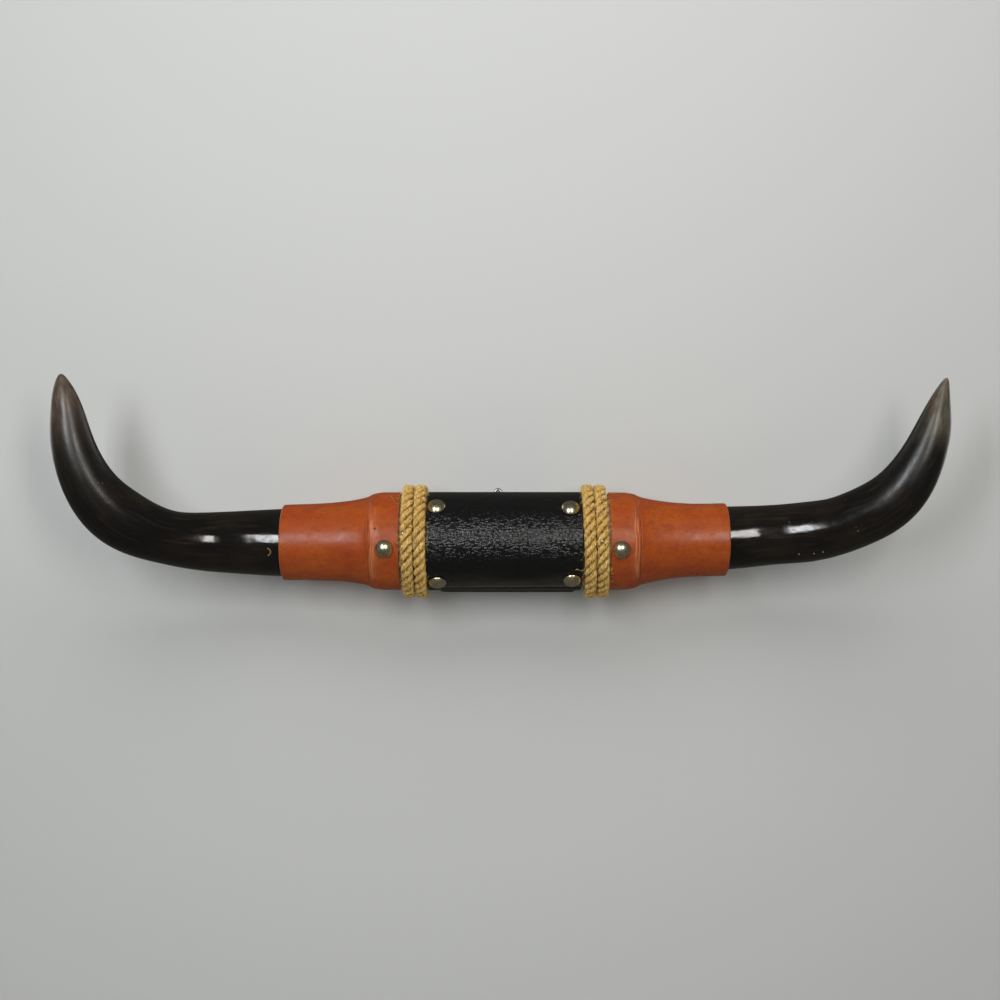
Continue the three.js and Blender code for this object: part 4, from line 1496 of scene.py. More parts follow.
@dataclass
class RopeBinding:
    """Two turns of three-strand rope on the bare core, side by side, with their ends tucked at the back."""

    hand: Hand
    middle: float
    spacing: float
    lean: float
    swing: float
    seed: int
    brad: Brad
    ring_radius: float = 36.35 * MM
    hug_swing: float = 0.12 * MM
    crossing: float = 50.0
    travel_step: float = 2.5
    strands: int = 3
    lay_length: float = 20.5 * MM
    strand_offset: float = 2.32 * MM
    strand_radius: float = 1.86 * MM
    yarns: int = 8
    yarn_depth: float = 0.2
    yarn_lay: float = 19 * MM
    squareness: float = 0.16
    unevenness: float = 1.1 * MM
    lump_size: float = 1.9 * MM
    step: float = 0.85 * MM
    sides: int = 32
    fuzz_density: float = 115000.0
    fuzz_length: float = 3.6 * MM
    fuzz_radius: float = 0.07 * MM

    def path(self) -> np.ndarray:
        """The rope's middle line: a turn, a crossing behind the core, and a second turn beside it.

        Returns:
            The line's points.
        """
        half = self.crossing / 2
        travel = np.radians(np.arange(half, 720.01 - half, self.travel_step))
        crossed = smooth(travel, 2 * math.pi - math.radians(half), 2 * math.pi + math.radians(half))
        skew = self.lean * np.sin(travel) + self.swing * np.cos(travel)
        along = self.middle + self.spacing * (crossed - 0.5) + skew
        hug = self.ring_radius + self.hug_swing * np.sin(3 * travel + self.seed)
        return round_axis(self.hand.value * along, hug, math.pi + travel)

    def press_in(self, strands: Object, place: Vector) -> None:
        """Presses the strands in round the head of the brad.

        Args:
            strands: The laid strands.
            place: Where the brad's head is.
        """
        points = np.empty(3 * len(strands.data.vertices), dtype=np.float32)
        strands.data.vertices.foreach_get("co", points)
        points = points.reshape(-1, 3)
        outward = np.array((0.0, place.y - AXIS_Y, place.z))
        outward /= np.linalg.norm(outward)
        away = points - np.array(place)
        above = away @ outward
        aside = np.linalg.norm(away - above[:, None] * outward, axis=1)
        hollow = self.brad.hollow_depth * bell(aside, 0, self.brad.hollow_radius) * (above > -3 * MM)
        strands.data.vertices.foreach_set("co", (points - hollow[:, None] * outward).ravel())
        strands.data.update()

    def build(self, laid: Recipe, fuzz: Recipe, material: Material, view: Viewpoint) -> Object:
        """Lays the strands along the path and adds the fibres that stand out of them.

        Args:
            laid: The tree that lays the strands.
            fuzz: The tree that adds the fibres.
            material: The rope's material.
            view: The camera, whose picture gives the brad's place.

        Returns:
            The rope.
        """
        name = f"rope_{self.hand.word}_laid"
        strands = laid.grow(path_object(f"{name}_path", self.path()), f"{name}_strands", material, self)
        self.press_in(strands, self.brad.place(view))
        piece = fuzz.grow(strands, name, material, self)
        return dressed(piece, material, [f"rope_{self.hand.word}"])


@dataclass(frozen=True)
class StrayFibre:
    """A loose thread on the leather, followed through pixels of the photograph."""

    pixels: Sequence[Pair]
    radius_under: float = 35.7 * MM
    lift: float = 0.25 * MM
    radius: float = 0.19 * MM
    thinning: float = 0.7
    sides: int = 6

    def path(self, view: Viewpoint) -> np.ndarray:
        """The thread's line, raised off the leather in the middle.

        Args:
            view: The camera of the photograph.

        Returns:
            The line's points.
        """
        points = []
        for i, (px, py) in enumerate(self.pixels):
            rise = self.lift * math.sin(math.pi * i / (len(self.pixels) - 1))
            points.append(tuple(view.on_core(px, py, self.radius_under + rise)))
        places = np.arange(len(points), dtype=float)
        return spline(places, np.array(points), np.linspace(0, places[-1], 8 * len(points)))

    def build(self, number: int, thread: Recipe, material: Material, view: Viewpoint) -> Object:
        """Draws the thread.

        Args:
            number: Its number among the threads.
            thread: The tree that draws it.
            material: Its fibre.
            view: The camera of the photograph.

        Returns:
            The thread.
        """
        base = path_object(f"stray_path_{number}", self.path(view))
        return dressed(thread.grow(base, f"stray_fibre_{number}", material, self), material, [])


# Tacks, hanger and board


@dataclass(frozen=True)
class TackPattern:
    """The one tack that the six are copies of."""

    head: Object


@dataclass
class Tacks:
    """The six domed nickel tacks, each with the angle of its seat in degrees."""

    seats: dict[str, Point]
    head_radius: float = 6.3 * MM
    dome_height: float = 3.8 * MM
    rim: float = 0.4 * MM
    shank_radius: float = 0.85 * MM
    shank_length: float = 12 * MM
    sides: int = 56
    point_share: float = 2.4

    def profile(self) -> list[Pair]:
        """The tack's outline from the point of its shank to the top of its dome.

        Returns:
            Pairs of radius and height.
        """
        rim_turn = np.radians(np.linspace(-90, 35, 6))
        middle = self.head_radius - self.rim
        rounded = [(middle + self.rim * math.cos(t), self.rim * (1 + math.sin(t))) for t in rim_turn]
        foot = rounded[-1]
        rise = self.dome_height - foot[1]
        ball = (foot[0] ** 2 + rise**2) / (2 * rise)
        low = math.asin((ball - rise) / ball)
        turns = np.linspace(low, math.pi / 2, 16)[1:]
        dome = [(ball * math.cos(t), self.dome_height - ball * (1 - math.sin(t))) for t in turns]
        end = -self.shank_length
        shank = [(0.0, end), (self.shank_radius, end + self.point_share * self.shank_radius)]
        return [*shank, (self.shank_radius, 0.0), *rounded, *dome[:-1], (0.0, self.dome_height)]

    def head(self) -> Object:
        """One tack, standing up at the origin."""
        return lathe("tack_pattern", self.profile(), self.sides)

    def build(self, seated: Recipe, material: Material) -> Object:
        """Sets the six tacks on their seats as one piece.

        Args:
            seated: The tree that copies a tack onto every seat.
            material: The tacks' metal.

        Returns:
            The tacks.
        """
        points, outward = [], []
        for x, angle, leather in self.seats.values():
            turn = math.radians(angle)
            points.append(round_axis(x, CORE_RADIUS + leather + 2 * GAP, turn))
            outward.append((0.0, -math.cos(turn), math.sin(turn)))
        base = plain_mesh("tack_seats", np.array(points), [])
        note(base, "outward", np.array(outward))
        note(base, "spin", np.array([1.1 * i for i in range(len(points))]))
        head = self.head()
        piece = seated.grow(base, "tacks_nickel", material, TackPattern(head))
        bpy.data.objects.remove(head)
        crisp(piece, 50)
        return dressed(piece, material, list(self.seats))


def lathe(name: str, profile: Sequence[Pair], sides: int) -> Object:
    """A solid turned about Z from (radius, height) pairs that start and end on the axis.

    Args:
        name: The object's name.
        profile: The outline.
        sides: How many steps it takes round.

    Returns:
        The closed solid.
    """
    turn = np.linspace(0, 2 * math.pi, sides, endpoint=False)
    rings = np.array([[(r * math.cos(t), r * math.sin(t), z) for t in turn] for r, z in profile[1:-1]])
    piece = skin(name, rings, Ends.FAN)
    piece.data.vertices[-2].co = (0, 0, profile[0][1])
    piece.data.vertices[-1].co = (0, 0, profile[-1][1])
    return piece


def cut_out(piece: Object, cutters: Sequence[Object]) -> Object:
    """Takes cutters out of a piece and removes them.

    Args:
        piece: The solid.
        cutters: The solids to take out of it.

    Returns:
        The cut piece, as a plain mesh.
    """
    for cutter in cutters:
        modifier = piece.modifiers.new("cut", "BOOLEAN")
        modifier.operation = "DIFFERENCE"
        modifier.solver = "EXACT"
        modifier.object = cutter
    made = with_modifiers(piece)
    for cutter in cutters:
        bpy.data.objects.remove(cutter)
    return made


def bevelled(piece: Object, width: float, segments: int = 3, angle: float = 35) -> Object:
    """Rounds the sharp edges of a piece over.

    Args:
        piece: The solid.
        width: How wide the rounding is.
        segments: How many faces it takes across.
        angle: The least angle of an edge that is rounded, in degrees.

    Returns:
        The rounded piece, as a plain mesh.
    """
    modifier = piece.modifiers.new("eased", "BEVEL")
    modifier.width = width
    modifier.segments = segments
    modifier.limit_method = "ANGLE"
    modifier.angle_limit = math.radians(angle)
    modifier.harden_normals = False
    return with_modifiers(piece)


def outline_solid(name: str, outline: np.ndarray, axis: int, low: float, high: float) -> Object:
    """A flat outline made thick along one axis.

    Args:
        name: The object's name.
        outline: Pairs of the two other coordinates, in their X, Y, Z order.
        axis: The axis that it is thick along.
        low: Where it starts on that axis.
        high: Where it ends.

    Returns:
        The closed solid.
    """
    rings = np.stack([np.insert(outline, axis, value, axis=1) for value in (low, high)])
    count = len(outline)
    faces = [[i, (i + 1) % count, count + (i + 1) % count, count + i] for i in range(count)]
    faces += [list(range(count)), list(range(2 * count - 1, count - 1, -1))]
    return plain_mesh(name, rings.reshape(-1, 3), faces)


def rounded_corners(corners: Sequence[Point], steps: int = 8) -> np.ndarray:
    """A closed outline whose corners are rounded.

    Args:
        corners: Each corner's two coordinates and its radius, anticlockwise.
        steps: How many steps a rounded corner takes.

    Returns:
        The outline's points.
    """
    points = []
    for i, (x, z, radius) in enumerate(corners):
        here = np.array((x, z))
        before = np.array(corners[i - 1][:2]) - here
        after = np.array(corners[(i + 1) % len(corners)][:2]) - here
        if radius <= 0:
            points.append(here)
            continue
        start = here + radius * before / np.linalg.norm(before)
        end = here + radius * after / np.linalg.norm(after)
        middle = start + end - here
        for t in np.linspace(0, math.pi / 2, steps + 1):
            points.append(middle + (start - middle) * math.cos(t) + (end - middle) * math.sin(t))
    return np.array(points)


def box_corners(x: Pair, z: Pair, low: float, high: float) -> list[Point]:
    """The four corners of an upright box, with one radius for the lower two and one for the upper two.

    Args:
        x: Its left and right side.
        z: Its bottom and top.
        low: The radius of the lower corners.
        high: The radius of the upper corners.

    Returns:
        Each corner's two coordinates and its radius, anticlockwise.
    """
    return [(x[0], z[0], low), (x[1], z[0], low), (x[1], z[1], high), (x[0], z[1], high)]


@dataclass
class Board:
    """The back board, with the recess of the hanger and the two countersunk screws."""

    left: float = -50 * MM
    right: float = 54.4 * MM
    top: float = 30 * MM
    bottom: float = -38.2 * MM
    thickness: float = 19.1 * MM
    corner: float = 6 * MM
    eased_edge: float = 1.2 * MM
    hanger_x: float = -4.7 * MM
    recess_half: float = 9.6 * MM
    recess_bottom: float = 7 * MM
    recess_depth: float = 4.4 * MM
    recess_corner: float = 2.4 * MM
    screw_x: float = 33 * MM
    screw_z: float = -6 * MM
    screw_sink: float = 0.6 * MM
    screw_head: float = 4.2 * MM
    screw_shank: float = 2.1 * MM
    cone_depth: float = 2.6 * MM
    hole_depth: float = 12 * MM
    overcut: float = 3 * MM

    def build(self, material: Material) -> Object:
        """Cuts the board from a rounded slab.

        Args:
            material: Its wood.

        Returns:
            The board.
        """
        corners = box_corners((self.left, self.right), (self.bottom, self.top), self.corner, self.corner)
        slab = outline_solid("back_board_wood", rounded_corners(corners), 1, -self.thickness, 0)
        slab = bevelled(slab, self.eased_edge, 4, 60)
        sides = self.hanger_x - self.recess_half, self.hanger_x + self.recess_half
        recess = box_corners(sides, (self.recess_bottom, self.top + 5 * MM), self.recess_corner, 0)
        cutters = [outline_solid("recess", rounded_corners(recess), 1, -self.recess_depth, self.overcut)]
        reach, shank, foot = self.screw_head + GAP, self.screw_shank + GAP, -self.hole_depth
        cone = [(shank, -self.screw_sink - self.cone_depth), (reach, -self.screw_sink)]
        profile = [(0, foot), (shank, foot), *cone, (reach, self.overcut), (0, self.overcut)]
        for sign in (-1, 1):
            cutter = lathe("countersink", profile, 40)
            stand_on_wall(cutter, (sign * self.screw_x, 0, self.screw_z))
            cutters.append(cutter)
        piece = bevelled(cut_out(slab, cutters), 0.25 * MM, 2, 40)
        crisp(piece, 40)
        return dressed(piece, material, ["back_board"])


def stand_on_wall(piece: Object, place: Point) -> None:
    """Lays a solid that stands up about Z down, so that its foot points away from the wall, and moves it.

    Args:
        piece: The solid.
        place: Where its origin goes.
    """
    points = np.array([vertex.co[:] for vertex in piece.data.vertices])
    turned = np.stack([points[:, 0], points[:, 2], -points[:, 1]], axis=-1) + np.array(place)
    piece.data.vertices.foreach_set("co", turned.ravel())
    piece.data.update()


@dataclass
class Screw:
    """A slotted screw, with a countersunk or a round head."""

    node: str
    place: Point
    head: float
    shank: float
    length: float
    slot_width: float
    slot_depth: float
    sunk: float = 0.0
    dome: float = 0.0
    slot_turn: float = 0.3
    head_rim: float = 0.3 * MM
    head_easing: float = 0.1 * MM
    point_share: float = 2.4
    sides: int = 40

    def profile(self) -> list[Pair]:
        """The screw's outline from its point to the top of its head.

        Returns:
            Pairs of radius and height.
        """
        outline = [(0.0, -self.length), (self.shank, -self.length + self.point_share * self.shank)]
        if self.dome:
            outline.append((self.shank, 0.0))
            for turn in np.linspace(0, math.pi / 2, 9)[:-1]:
                outline.append((self.head * math.cos(turn), self.dome * math.sin(turn)))
            return [*outline, (0.0, self.dome)]
        rim = [(self.head, -self.head_rim), (self.head - self.head_easing, 0.0)]
        return [*outline, (self.shank, -self.sunk), *rim, (0.0, 0.0)]

    def build(self, material: Material) -> Object:
        """Turns the screw, cuts its slot and drives it into place.

        Args:
            material: Its steel.

        Returns:
            The screw.
        """
        piece = lathe(f"{self.node}_steel", self.profile(), self.sides)
        half, reach, top = self.slot_width / 2, self.head * 1.3, self.dome
        ends = box_corners((-reach, reach), (-half, half), 0, 0)
        slot = outline_solid("slot", rounded_corners(ends), 2, top - self.slot_depth, top + 2 * MM)
        cosine, sine = math.cos(self.slot_turn), math.sin(self.slot_turn)
        turn = np.array([[cosine, -sine], [sine, cosine]])
        for vertex in slot.data.vertices:
            vertex.co.xy = turn @ np.array(vertex.co.xy)
        piece = cut_out(piece, [slot])
        stand_on_wall(piece, self.place)
        piece = bevelled(piece, 0.08 * MM, 2, 40)
        crisp(piece, 35)
        return dressed(piece, material, [self.node])


@dataclass(frozen=True)
class RoundWire:
    """Round wire of one thickness: its radius, the share by which its ends are thinner, and its sides."""

    radius: float
    thinning: float = 0.0
    sides: int = 20


@dataclass
class Hanger:
    """The wire ring whose top shows above the wrap, and the folded strap that holds it."""

    x: float = -4.7 * MM
    to_wall: float = 2.12 * MM
    wire: float = 0.9 * MM
    top: float = 38.5 * MM
    top_radius: float = 2.1 * MM
    bar_half: float = 7.4 * MM
    bar_z: float = 21 * MM
    corner: float = 1.8 * MM
    strap_half: float = 4.5 * MM
    strap_thick: float = 0.8 * MM
    strap_bottom: float = 8.6 * MM
    hook_end: float = 17.5 * MM

    def half_ring(self) -> np.ndarray:
        """The right half of the ring, from the middle of its bar to the middle of its top.

        Returns:
            Pairs of distance from the ring's middle and height.
        """
        top_z = self.top - self.wire
        shoulder = top_z - self.top_radius
        slope = (self.bar_half - self.top_radius) / (shoulder - self.bar_z)
        before = (self.bar_half - self.corner, self.bar_z)
        after = (self.bar_half - self.corner * slope, self.bar_z + self.corner)
        peak = (self.top_radius * (1 - slope), top_z)
        pieces = [
            np.linspace((0.02 * MM, self.bar_z), before, 6),
            bent(before, (self.bar_half, self.bar_z), after),
            np.linspace(after, (self.top_radius, shoulder), 12),
            bent((self.top_radius, shoulder), peak, (0, top_z)),
        ]
        return np.concatenate([pieces[0], *(piece[1:] for piece in pieces[1:])])

    def build_ring(self, wire: Recipe, material: Material) -> Object:
        """Bends the ring from wire.

        Args:
            wire: The tree that draws wire along a line.
            material: Its steel.

        Returns:
            The ring.
        """
        half = self.half_ring()
        other = half[::-1][1:] * np.array([-1, 1])
        flat = np.concatenate([half, other])
        points = np.stack([self.x + flat[:, 0], np.full(len(flat), -self.to_wall), flat[:, 1]], axis=-1)
        base = path_object("ring_path", points)
        piece = wire.grow(base, "hanger_ring_wire", material, RoundWire(self.wire))
        return dressed(piece, material, ["hanger_ring"])

    def build_strap(self, material: Material) -> Object:
        """Folds the strap over the ring's bar.

        Args:
            material: Its steel.

        Returns:
            The strap.
        """
        inner = self.wire + GAP
        outer = inner + self.strap_thick
        turn = np.linspace(math.pi, 0, 15)
        over = np.stack([outer * np.cos(turn), self.bar_z + outer * np.sin(turn)], axis=-1)
        under = np.stack([inner * np.cos(turn[::-1]), self.bar_z + inner * np.sin(turn[::-1])], axis=-1)
        start, hook = (-outer, self.strap_bottom), (outer, self.hook_end)
        back, end = (inner, self.hook_end), (-inner, self.strap_bottom)
        outline = np.concatenate([[start], over, [hook], [back], under, [end]])
        outline[:, 0] -= self.to_wall
        piece = outline_solid("hanger_strap_steel", outline, 0, self.x - self.strap_half, self.x + self.strap_half)
        piece = bevelled(piece, 0.18 * MM, 2, 40)
        crisp(piece, 40)
        return dressed(piece, material, ["hanger_strap"])


def bent(start: Pair, corner: Pair, end: Pair) -> np.ndarray:
    """Points on the curve that leaves and arrives along the sides of a corner.

    Args:
        start: Where it starts.
        corner: The corner that it rounds.
        end: Where it ends.

    Returns:
        The curve's points.
    """
    t = np.linspace(0, 1, 12)[:, None]
    return (1 - t) ** 2 * np.array(start) + 2 * t * (1 - t) * np.array(corner) + t**2 * np.array(end)


# The stage


@dataclass(frozen=True)
class SoftBox:
    """A soft studio light: its place, aim, size, strength and colour, and whether it shows in what shines."""

    name: str
    place: Point
    aim: Point
    size: Pair
    watts: float
    colour: Tint = (1, 1, 1)
    shows: bool = True

    def build(self) -> None:
        """Makes the light."""
        data = bpy.data.lights.new(self.name, "AREA")
        data.shape = "RECTANGLE"
        data.size, data.size_y = self.size
        data.energy = self.watts
        data.color = self.colour
        light = bpy.data.objects.new(self.name, data)
        light.location = self.place
        way = Vector(self.aim) - Vector(self.place)
        light.rotation_euler = way.to_track_quat("-Z", "Y").to_euler()
        light.visible_glossy = self.shows
        bpy.context.scene.collection.objects.link(light)


@dataclass(frozen=True)
class Window:
    """A tall window of upright soft panes, whose azimuth is in degrees to the right of the camera."""

    name: str
    azimuth: float
    watts: float
    colour: Tint
    elevation: float = 13.0
    distance: float = 1.3
    height: float = 0.54
    panes: int = 3
    pane_width: float = 0.055
    pitch: float = 3.4

    def build(self) -> None:
        """Makes the panes, all facing the middle of the plaque."""
        rise = math.radians(self.elevation)
        level = self.distance * math.cos(rise)
        for i in range(self.panes):
            turn = math.radians(self.azimuth + self.pitch * (i - (self.panes - 1) / 2))
            place = (level * math.sin(turn), -level * math.cos(turn), self.distance * math.sin(rise))
            size, share = (self.pane_width, self.height), self.watts / self.panes
            SoftBox(f"{self.name}_pane_{i + 1}", place, (0, 0, 0), size, share, self.colour).build()


@dataclass
class Studio:
    """A pale wall behind the plaque, a pale floor below it and plain soft light."""

    wall_reach: float = 5.0
    wall_gap: float = 0.6 * MM
    floor_z: float = -0.72
    colour: Colour = (0.58, 0.585, 0.57, 1)
    windows: Sequence[Window] = ()
    lights: Sequence[SoftBox] = ()
    seen_world: Colour = (0.72, 0.73, 0.74, 1)
    lit_world: Colour = (0.06, 0.062, 0.066, 1)
    glossy_world: Colour = (0.085, 0.082, 0.072, 1)

    def build(self) -> None:
        """Makes the wall, the floor, the lights and the world."""
        reach, floor = self.wall_reach, self.floor_z
        behind = self.wall_gap
        upright = ((-reach, floor), (reach, floor), (reach, reach), (-reach, reach))
        wall_points = [(x, behind, z) for x, z in upright]
        wall = plain_mesh("stage_wall", np.array(wall_points), [])
        wall.data.clear_geometry()
        wall.data.from_pydata(wall_points, [], [(0, 1, 2, 3)])
        wall.data.materials.append(StageFinish("stage_wall_paint", self.colour, True).build())
        wall.visible_shadow = False
        wall.visible_glossy = False
        around = ((-reach, -reach), (reach, -reach), (reach, reach), (-reach, reach))
        floor_points = [(x, y, floor) for x, y in around]
        ground = plain_mesh("stage_floor", np.array(floor_points), [(0, 1, 2, 3)])
        ground.data.materials.append(StageFinish("stage_floor_paint", self.colour, False).build())
        ground.visible_glossy = False
        for light in (*self.windows, *self.lights):
            light.build()
        world = bpy.data.worlds.new("studio")
        world.use_nodes = True
        sky = Nodes(world.node_tree)
        ray = sky.add("ShaderNodeLightPath").outputs
        tint = sky.mixed(ray["Is Glossy Ray"], self.lit_world, self.glossy_world)
        tint = sky.mixed(ray["Is Camera Ray"], tint, self.seen_world)
        sky.tree.links.new(tint, world.node_tree.nodes["Background"].inputs["Color"])
        bpy.context.scene.world = world


# The plaque

LEFT_HORN = Horn(
    hand=Hand.LEFT,
    base=((95.5, 28.5), (104, 27.1), (112, 26.0), (126, 24.9), (142, 24.4)),
    drift=(1.2, -1),
    stations=(
        (158.2, 1.2, -1, 24.2, 24.2),
        (178.1, 2.6, -1, 23.2, 22.9),
        (197.1, 5.6, -0.7, 22, 21.4),
        (218.3, 13, 0.3, 20.4, 19.7),
        (235.9, 22.5, 3.2, 19.1, 18.4),
        (252.3, 33, 9.5, 20.1, 18.3),
        (266.1, 41.5, 18.5, 20.7, 18.1),
        (280.4, 50, 35.4, 18.6, 16.9),
        (289.7, 56.5, 57.4, 15.6, 14.7),
        (293.4, 59.5, 74.1, 13.5, 12.9),
        (295.3, 61.3, 89.8, 10.8, 10.4),
        (297.4, 62.5, 104, 6.9, 6.8),
        (298.4, 62.8, 110.7, 3.8, 3.8),
    ),
    tip=(298.8, 63, 114.4),
    finish=HornFinish(
        "horn_left_polish",
        tip_colour=(0.115, 0.084, 0.062, 1),
        tip_fade=(62 * MM, 16 * MM),
        mark_colour=(0.26, 0.15, 0.07, 1),
        mark_radius=0.75 * MM,
    ),
    mark_pixels=((268, 548.6), (269.7, 549.8), (270.5, 551.8), (270, 553.8), (268.6, 555.2)),
)
RIGHT_HORN = Horn(
    hand=Hand.RIGHT,
    base=((95.5, 28.1), (105, 26.4), (114, 24.8), (128, 23.2), (142, 22.7)),
    drift=(1.8, 2.2),
    stations=(
        (158.2, 1.8, 2.2, 22.6, 22.6),
        (177.1, 3.3, 3.5, 21.9, 21.5),
        (196.1, 6.6, 5, 21.3, 20.7),
        (215.5, 13.2, 7, 21.3, 20.2),
        (232.6, 21.8, 10.9, 20.3, 19.1),
        (245.4, 29.8, 16.3, 19.9, 18.2),
        (258.4, 38, 23.7, 19.6, 17.6),
        (270.6, 45.5, 34.9, 18.5, 16.7),
        (280.3, 51.5, 50.6, 16.4, 15.1),
        (286, 55, 64.4, 14.2, 13.4),
        (289.9, 57.3, 77.2, 12, 11.6),
        (294.5, 60.6, 98.8, 6.1, 6),
        (296.9, 61.6, 107.8, 2.9, 2.9),
    ),
    tip=(298.1, 62, 111.8),
    finish=HornFinish("horn_right_polish", tip_colour=(0.150, 0.128, 0.088, 1), tip_fade=(48 * MM, 10 * MM)),
    mark_pixels=((799, 554), (814, 553.5), (823, 552)),
)
SLEEVE_LEATHER = 2.6 * MM
WRAP_LEATHER = 2.8 * MM
AWL_HOLE_PIXEL = (374.8, 528.6)
LEFT_SLEEVE = Sleeve(
    hand=Hand.LEFT,
    profile=(
        *((74, 35.0), (86, 35.0), (91.6, 34.2), (94.8, 33.3), (98, 31.8)),
        *((104, 30.4), (112, 29.1), (126, 27.9), (142, 27.3), (158.2, 27.0)),
    ),
    drift=(1.2 * MM, -1 * MM),
    strip=Strip(SLEEVE_LEATHER, -164, 22),
)
RIGHT_SLEEVE = Sleeve(
    hand=Hand.RIGHT,
    profile=(
        *((74, 35.0), (84, 34.9), (91.6, 33.9), (95.5, 32.4), (98.5, 31.3)),
        *((104.4, 29.9), (112, 28.5), (124, 26.9), (138, 26.1), (158.2, 26.0)),
    ),
    drift=(1.8 * MM, 1.2 * MM),
    strip=Strip(SLEEVE_LEATHER, -164, 22),
    fold_place=94.9 * MM,
    fold_lean=-0.5 * MM,
)
WRAP = Wrap(
    strip=Strip(WRAP_LEATHER, -65.75, 20, edge_seen_angle=2.6),
    creases=(
        Crease(middle=-6.5 * MM, half_length=20 * MM, angle=20.5, slope=-4.4, width=0.6 * MM, depth=0.30 * MM),
        Crease(middle=-34 * MM, half_length=14 * MM, angle=23, slope=-2.5, width=0.6 * MM, depth=0.22 * MM),
        Crease(middle=22 * MM, half_length=14 * MM, angle=22, slope=1.5, width=0.6 * MM, depth=0.2 * MM),
        Crease(middle=52.5 * MM, half_length=5 * MM, angle=33, slope=4, width=0.7 * MM, depth=0.35 * MM),
        Crease(middle=-52 * MM, half_length=6 * MM, angle=33, slope=4, width=0.7 * MM, depth=0.35 * MM),
        Crease(middle=41 * MM, half_length=3 * MM, angle=30, slope=20, width=0.6 * MM, depth=0.25 * MM),
        Crease(middle=12 * MM, half_length=30 * MM, angle=-20, slope=3, width=1.4 * MM, depth=0.12 * MM),
    ),
)
ROPES = (
    RopeBinding(
        Hand.LEFT,
        middle=63.8 * MM,
        spacing=8.8 * MM,
        lean=-0.3 * MM,
        swing=0,
        seed=3,
        brad=Brad("rope_brad_left", pixel=(402.6, 533)),
    ),
    RopeBinding(
        Hand.RIGHT,
        middle=64.7 * MM,
        spacing=8.8 * MM,
        lean=1.1 * MM,
        swing=0.9 * MM,
        seed=8,
        brad=Brad("rope_brad_right", pixel=(602.6, 541.4)),
    ),
)
STRAY_FIBRES = (
    StrayFibre(((389.8, 495), (393.3, 499.6), (396.1, 503.5), (400.6, 503.1))),
    StrayFibre(((395.5, 497.5), (398.5, 498.2), (402, 498.4))),
    StrayFibre(((394.5, 544.5), (397.5, 542.6), (400.5, 540.6))),
    StrayFibre(((393.8, 541.5), (396.8, 543.2), (401.0, 545.5))),
    StrayFibre(((575.5, 570), (578, 569.5), (581, 570.8), (584.5, 569.6)), radius_under=36.5 * MM),
    StrayFibre(((607.5, 494.5), (611.5, 493.2), (615.5, 494.2))),
    StrayFibre(((607.5, 499.5), (611, 500.2), (616, 500.4))),
    StrayFibre(((607.5, 541), (611, 541.5), (615, 543.6))),
    StrayFibre(((608, 576), (611.5, 574.2), (615.5, 571.5))),
    StrayFibre(((608, 585), (612.5, 586.2), (617, 587.8))),
)
TACKS = Tacks(
    seats={
        "tack_wrap_upper_left": (-47.9 * MM, 44.6, WRAP_LEATHER),
        "tack_wrap_upper_right": (46.2 * MM, 42.3, WRAP_LEATHER),
        "tack_wrap_lower_left": (-47.2 * MM, -52.8, WRAP_LEATHER),
        "tack_wrap_lower_right": (47.4 * MM, -48.8, WRAP_LEATHER),
        "tack_sleeve_left": (-83.8 * MM, -7, SLEEVE_LEATHER),
        "tack_sleeve_right": (81.2 * MM, -8, SLEEVE_LEATHER),
    }
)
BOARD = Board()
BOARD_SCREW = Screw(
    "board_screw",
    (0, 0, 0),
    head=4.2 * MM,
    shank=2.1 * MM,
    length=36 * MM,
    slot_width=1.0 * MM,
    slot_depth=1.2 * MM,
    sunk=2.6 * MM,
)
SCREWS = (
    replace(BOARD_SCREW, node="board_screw_left", place=(-33 * MM, -0.6 * MM, -6 * MM), slot_turn=0.5),
    replace(BOARD_SCREW, node="board_screw_right", place=(33 * MM, -0.6 * MM, -6 * MM), slot_turn=-0.9),
    Screw(
        "hanger_screw",
        (-4.7 * MM, -3.0 * MM, 12.6 * MM),
        head=2.9 * MM,
        shank=1.3 * MM,
        length=12 * MM,
        slot_width=0.8 * MM,
        slot_depth=0.8 * MM,
        dome=1.7 * MM,
        slot_turn=1.2,
    ),
)
HANGER = Hanger()
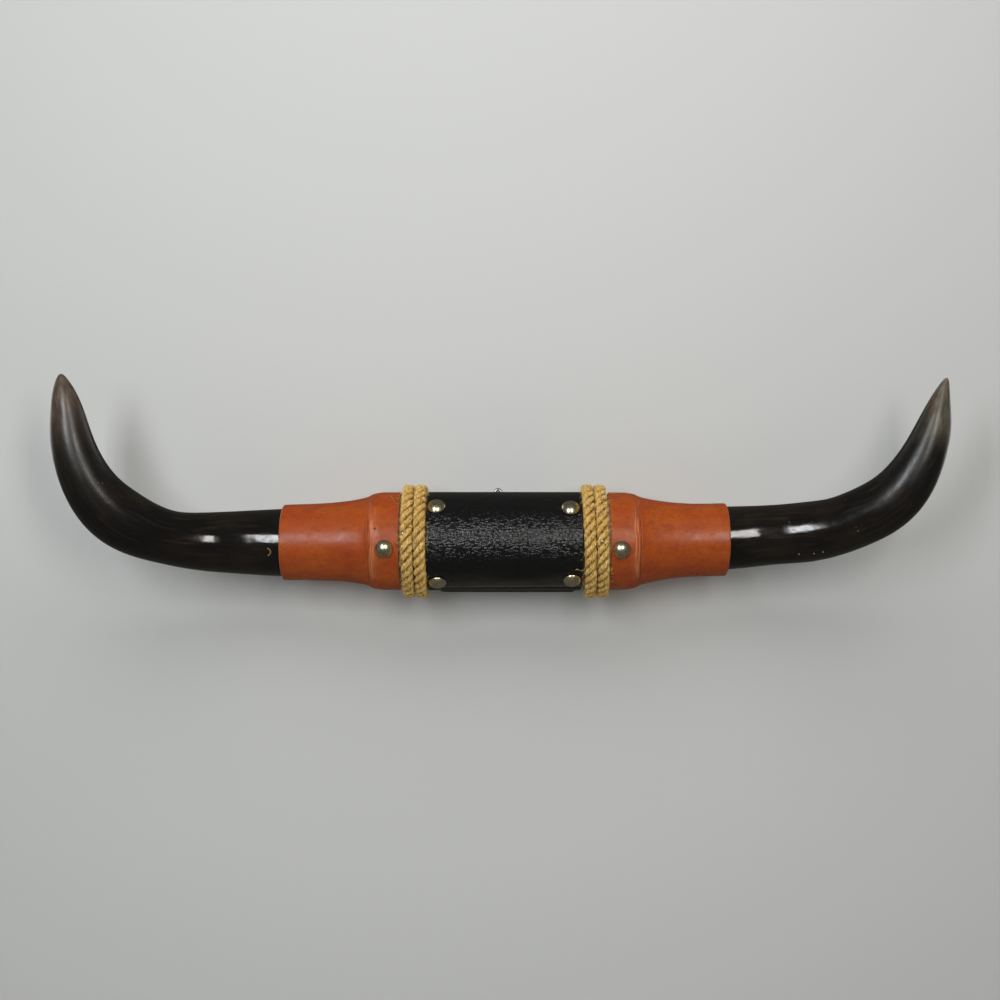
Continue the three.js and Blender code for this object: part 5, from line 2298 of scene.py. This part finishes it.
STUDIO = Studio(
    windows=(
        Window("left", -21, 5.6, (0.94, 0.975, 1.0)),
        Window("right", 14, 4.2, (1.0, 0.97, 0.92), pane_width=0.045, pitch=2.8),
    ),
    lights=(
        SoftBox("ceiling", (0.0, -0.75, 0.95), (0, 0, 0), (1.2, 0.7), 8.0, shows=False),
        SoftBox("back_fill_left", (-1.5, 1.1, 0.5), (0, 0, 0), (1.2, 1.2), 5),
        SoftBox("back_fill_right", (1.5, 1.1, 0.3), (0, 0, 0), (1.2, 1.2), 5),
    ),
)


def build_plaque(view: Viewpoint) -> None:
    """Builds every piece of the plaque and dresses the nodes that stay.

    Args:
        view: The camera of the photograph.
    """
    tan = TanLeatherFinish(awl_hole=view.sight(*AWL_HOLE_PIXEL)).build()
    black = BlackLeatherFinish().build()
    fibre = RopeFinish().build()
    nickel = MetalFinish("antique_nickel", (0.86, 0.77, 0.55, 1), (0.52, 0.44, 0.29, 1), (0.21, 0.38)).build()
    steel = MetalFinish("zinc_steel", (0.66, 0.67, 0.68, 1), (0.40, 0.40, 0.41, 1), (0.22, 0.42)).build()
    stained = WoodFinish("stained_board", (0.034, 0.017, 0.010, 1), (0.014, 0.008, 0.006, 1), 0.6).build()
    bare = WoodFinish("bare_core", (0.42, 0.25, 0.12, 1), (0.27, 0.14, 0.06, 1), 0.7).build()

    for horn in (LEFT_HORN, RIGHT_HORN):
        horn.build(view)
    for sleeve in (LEFT_SLEEVE, RIGHT_SLEEVE):
        sleeve.build(tan)
    WRAP.build(black)
    laid, fuzz = rope_recipe(), fuzz_recipe()
    for rope in ROPES:
        rope.build(laid, fuzz, fibre, view)
        rope.brad.build(view, steel)
    thread = thread_recipe()
    for i, stray in enumerate(STRAY_FIBRES):
        stray.build(i + 1, thread, fibre, view)
    TACKS.build(seated_recipe(), nickel)
    BOARD.build(stained)
    for screw in SCREWS:
        screw.build(steel)
    HANGER.build_ring(thread, steel)
    HANGER.build_strap(steel)
    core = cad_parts["core"]
    for slot in core.material_slots:
        slot.material = bare


def main() -> None:
    """Builds the camera, the plaque and the stage in order."""
    logging.basicConfig(level=logging.INFO, format="%(name)s: %(message)s")
    view = Viewpoint()
    view.build()
    build_plaque(view)
    STUDIO.build()


if __name__ == "__main__":
    main()
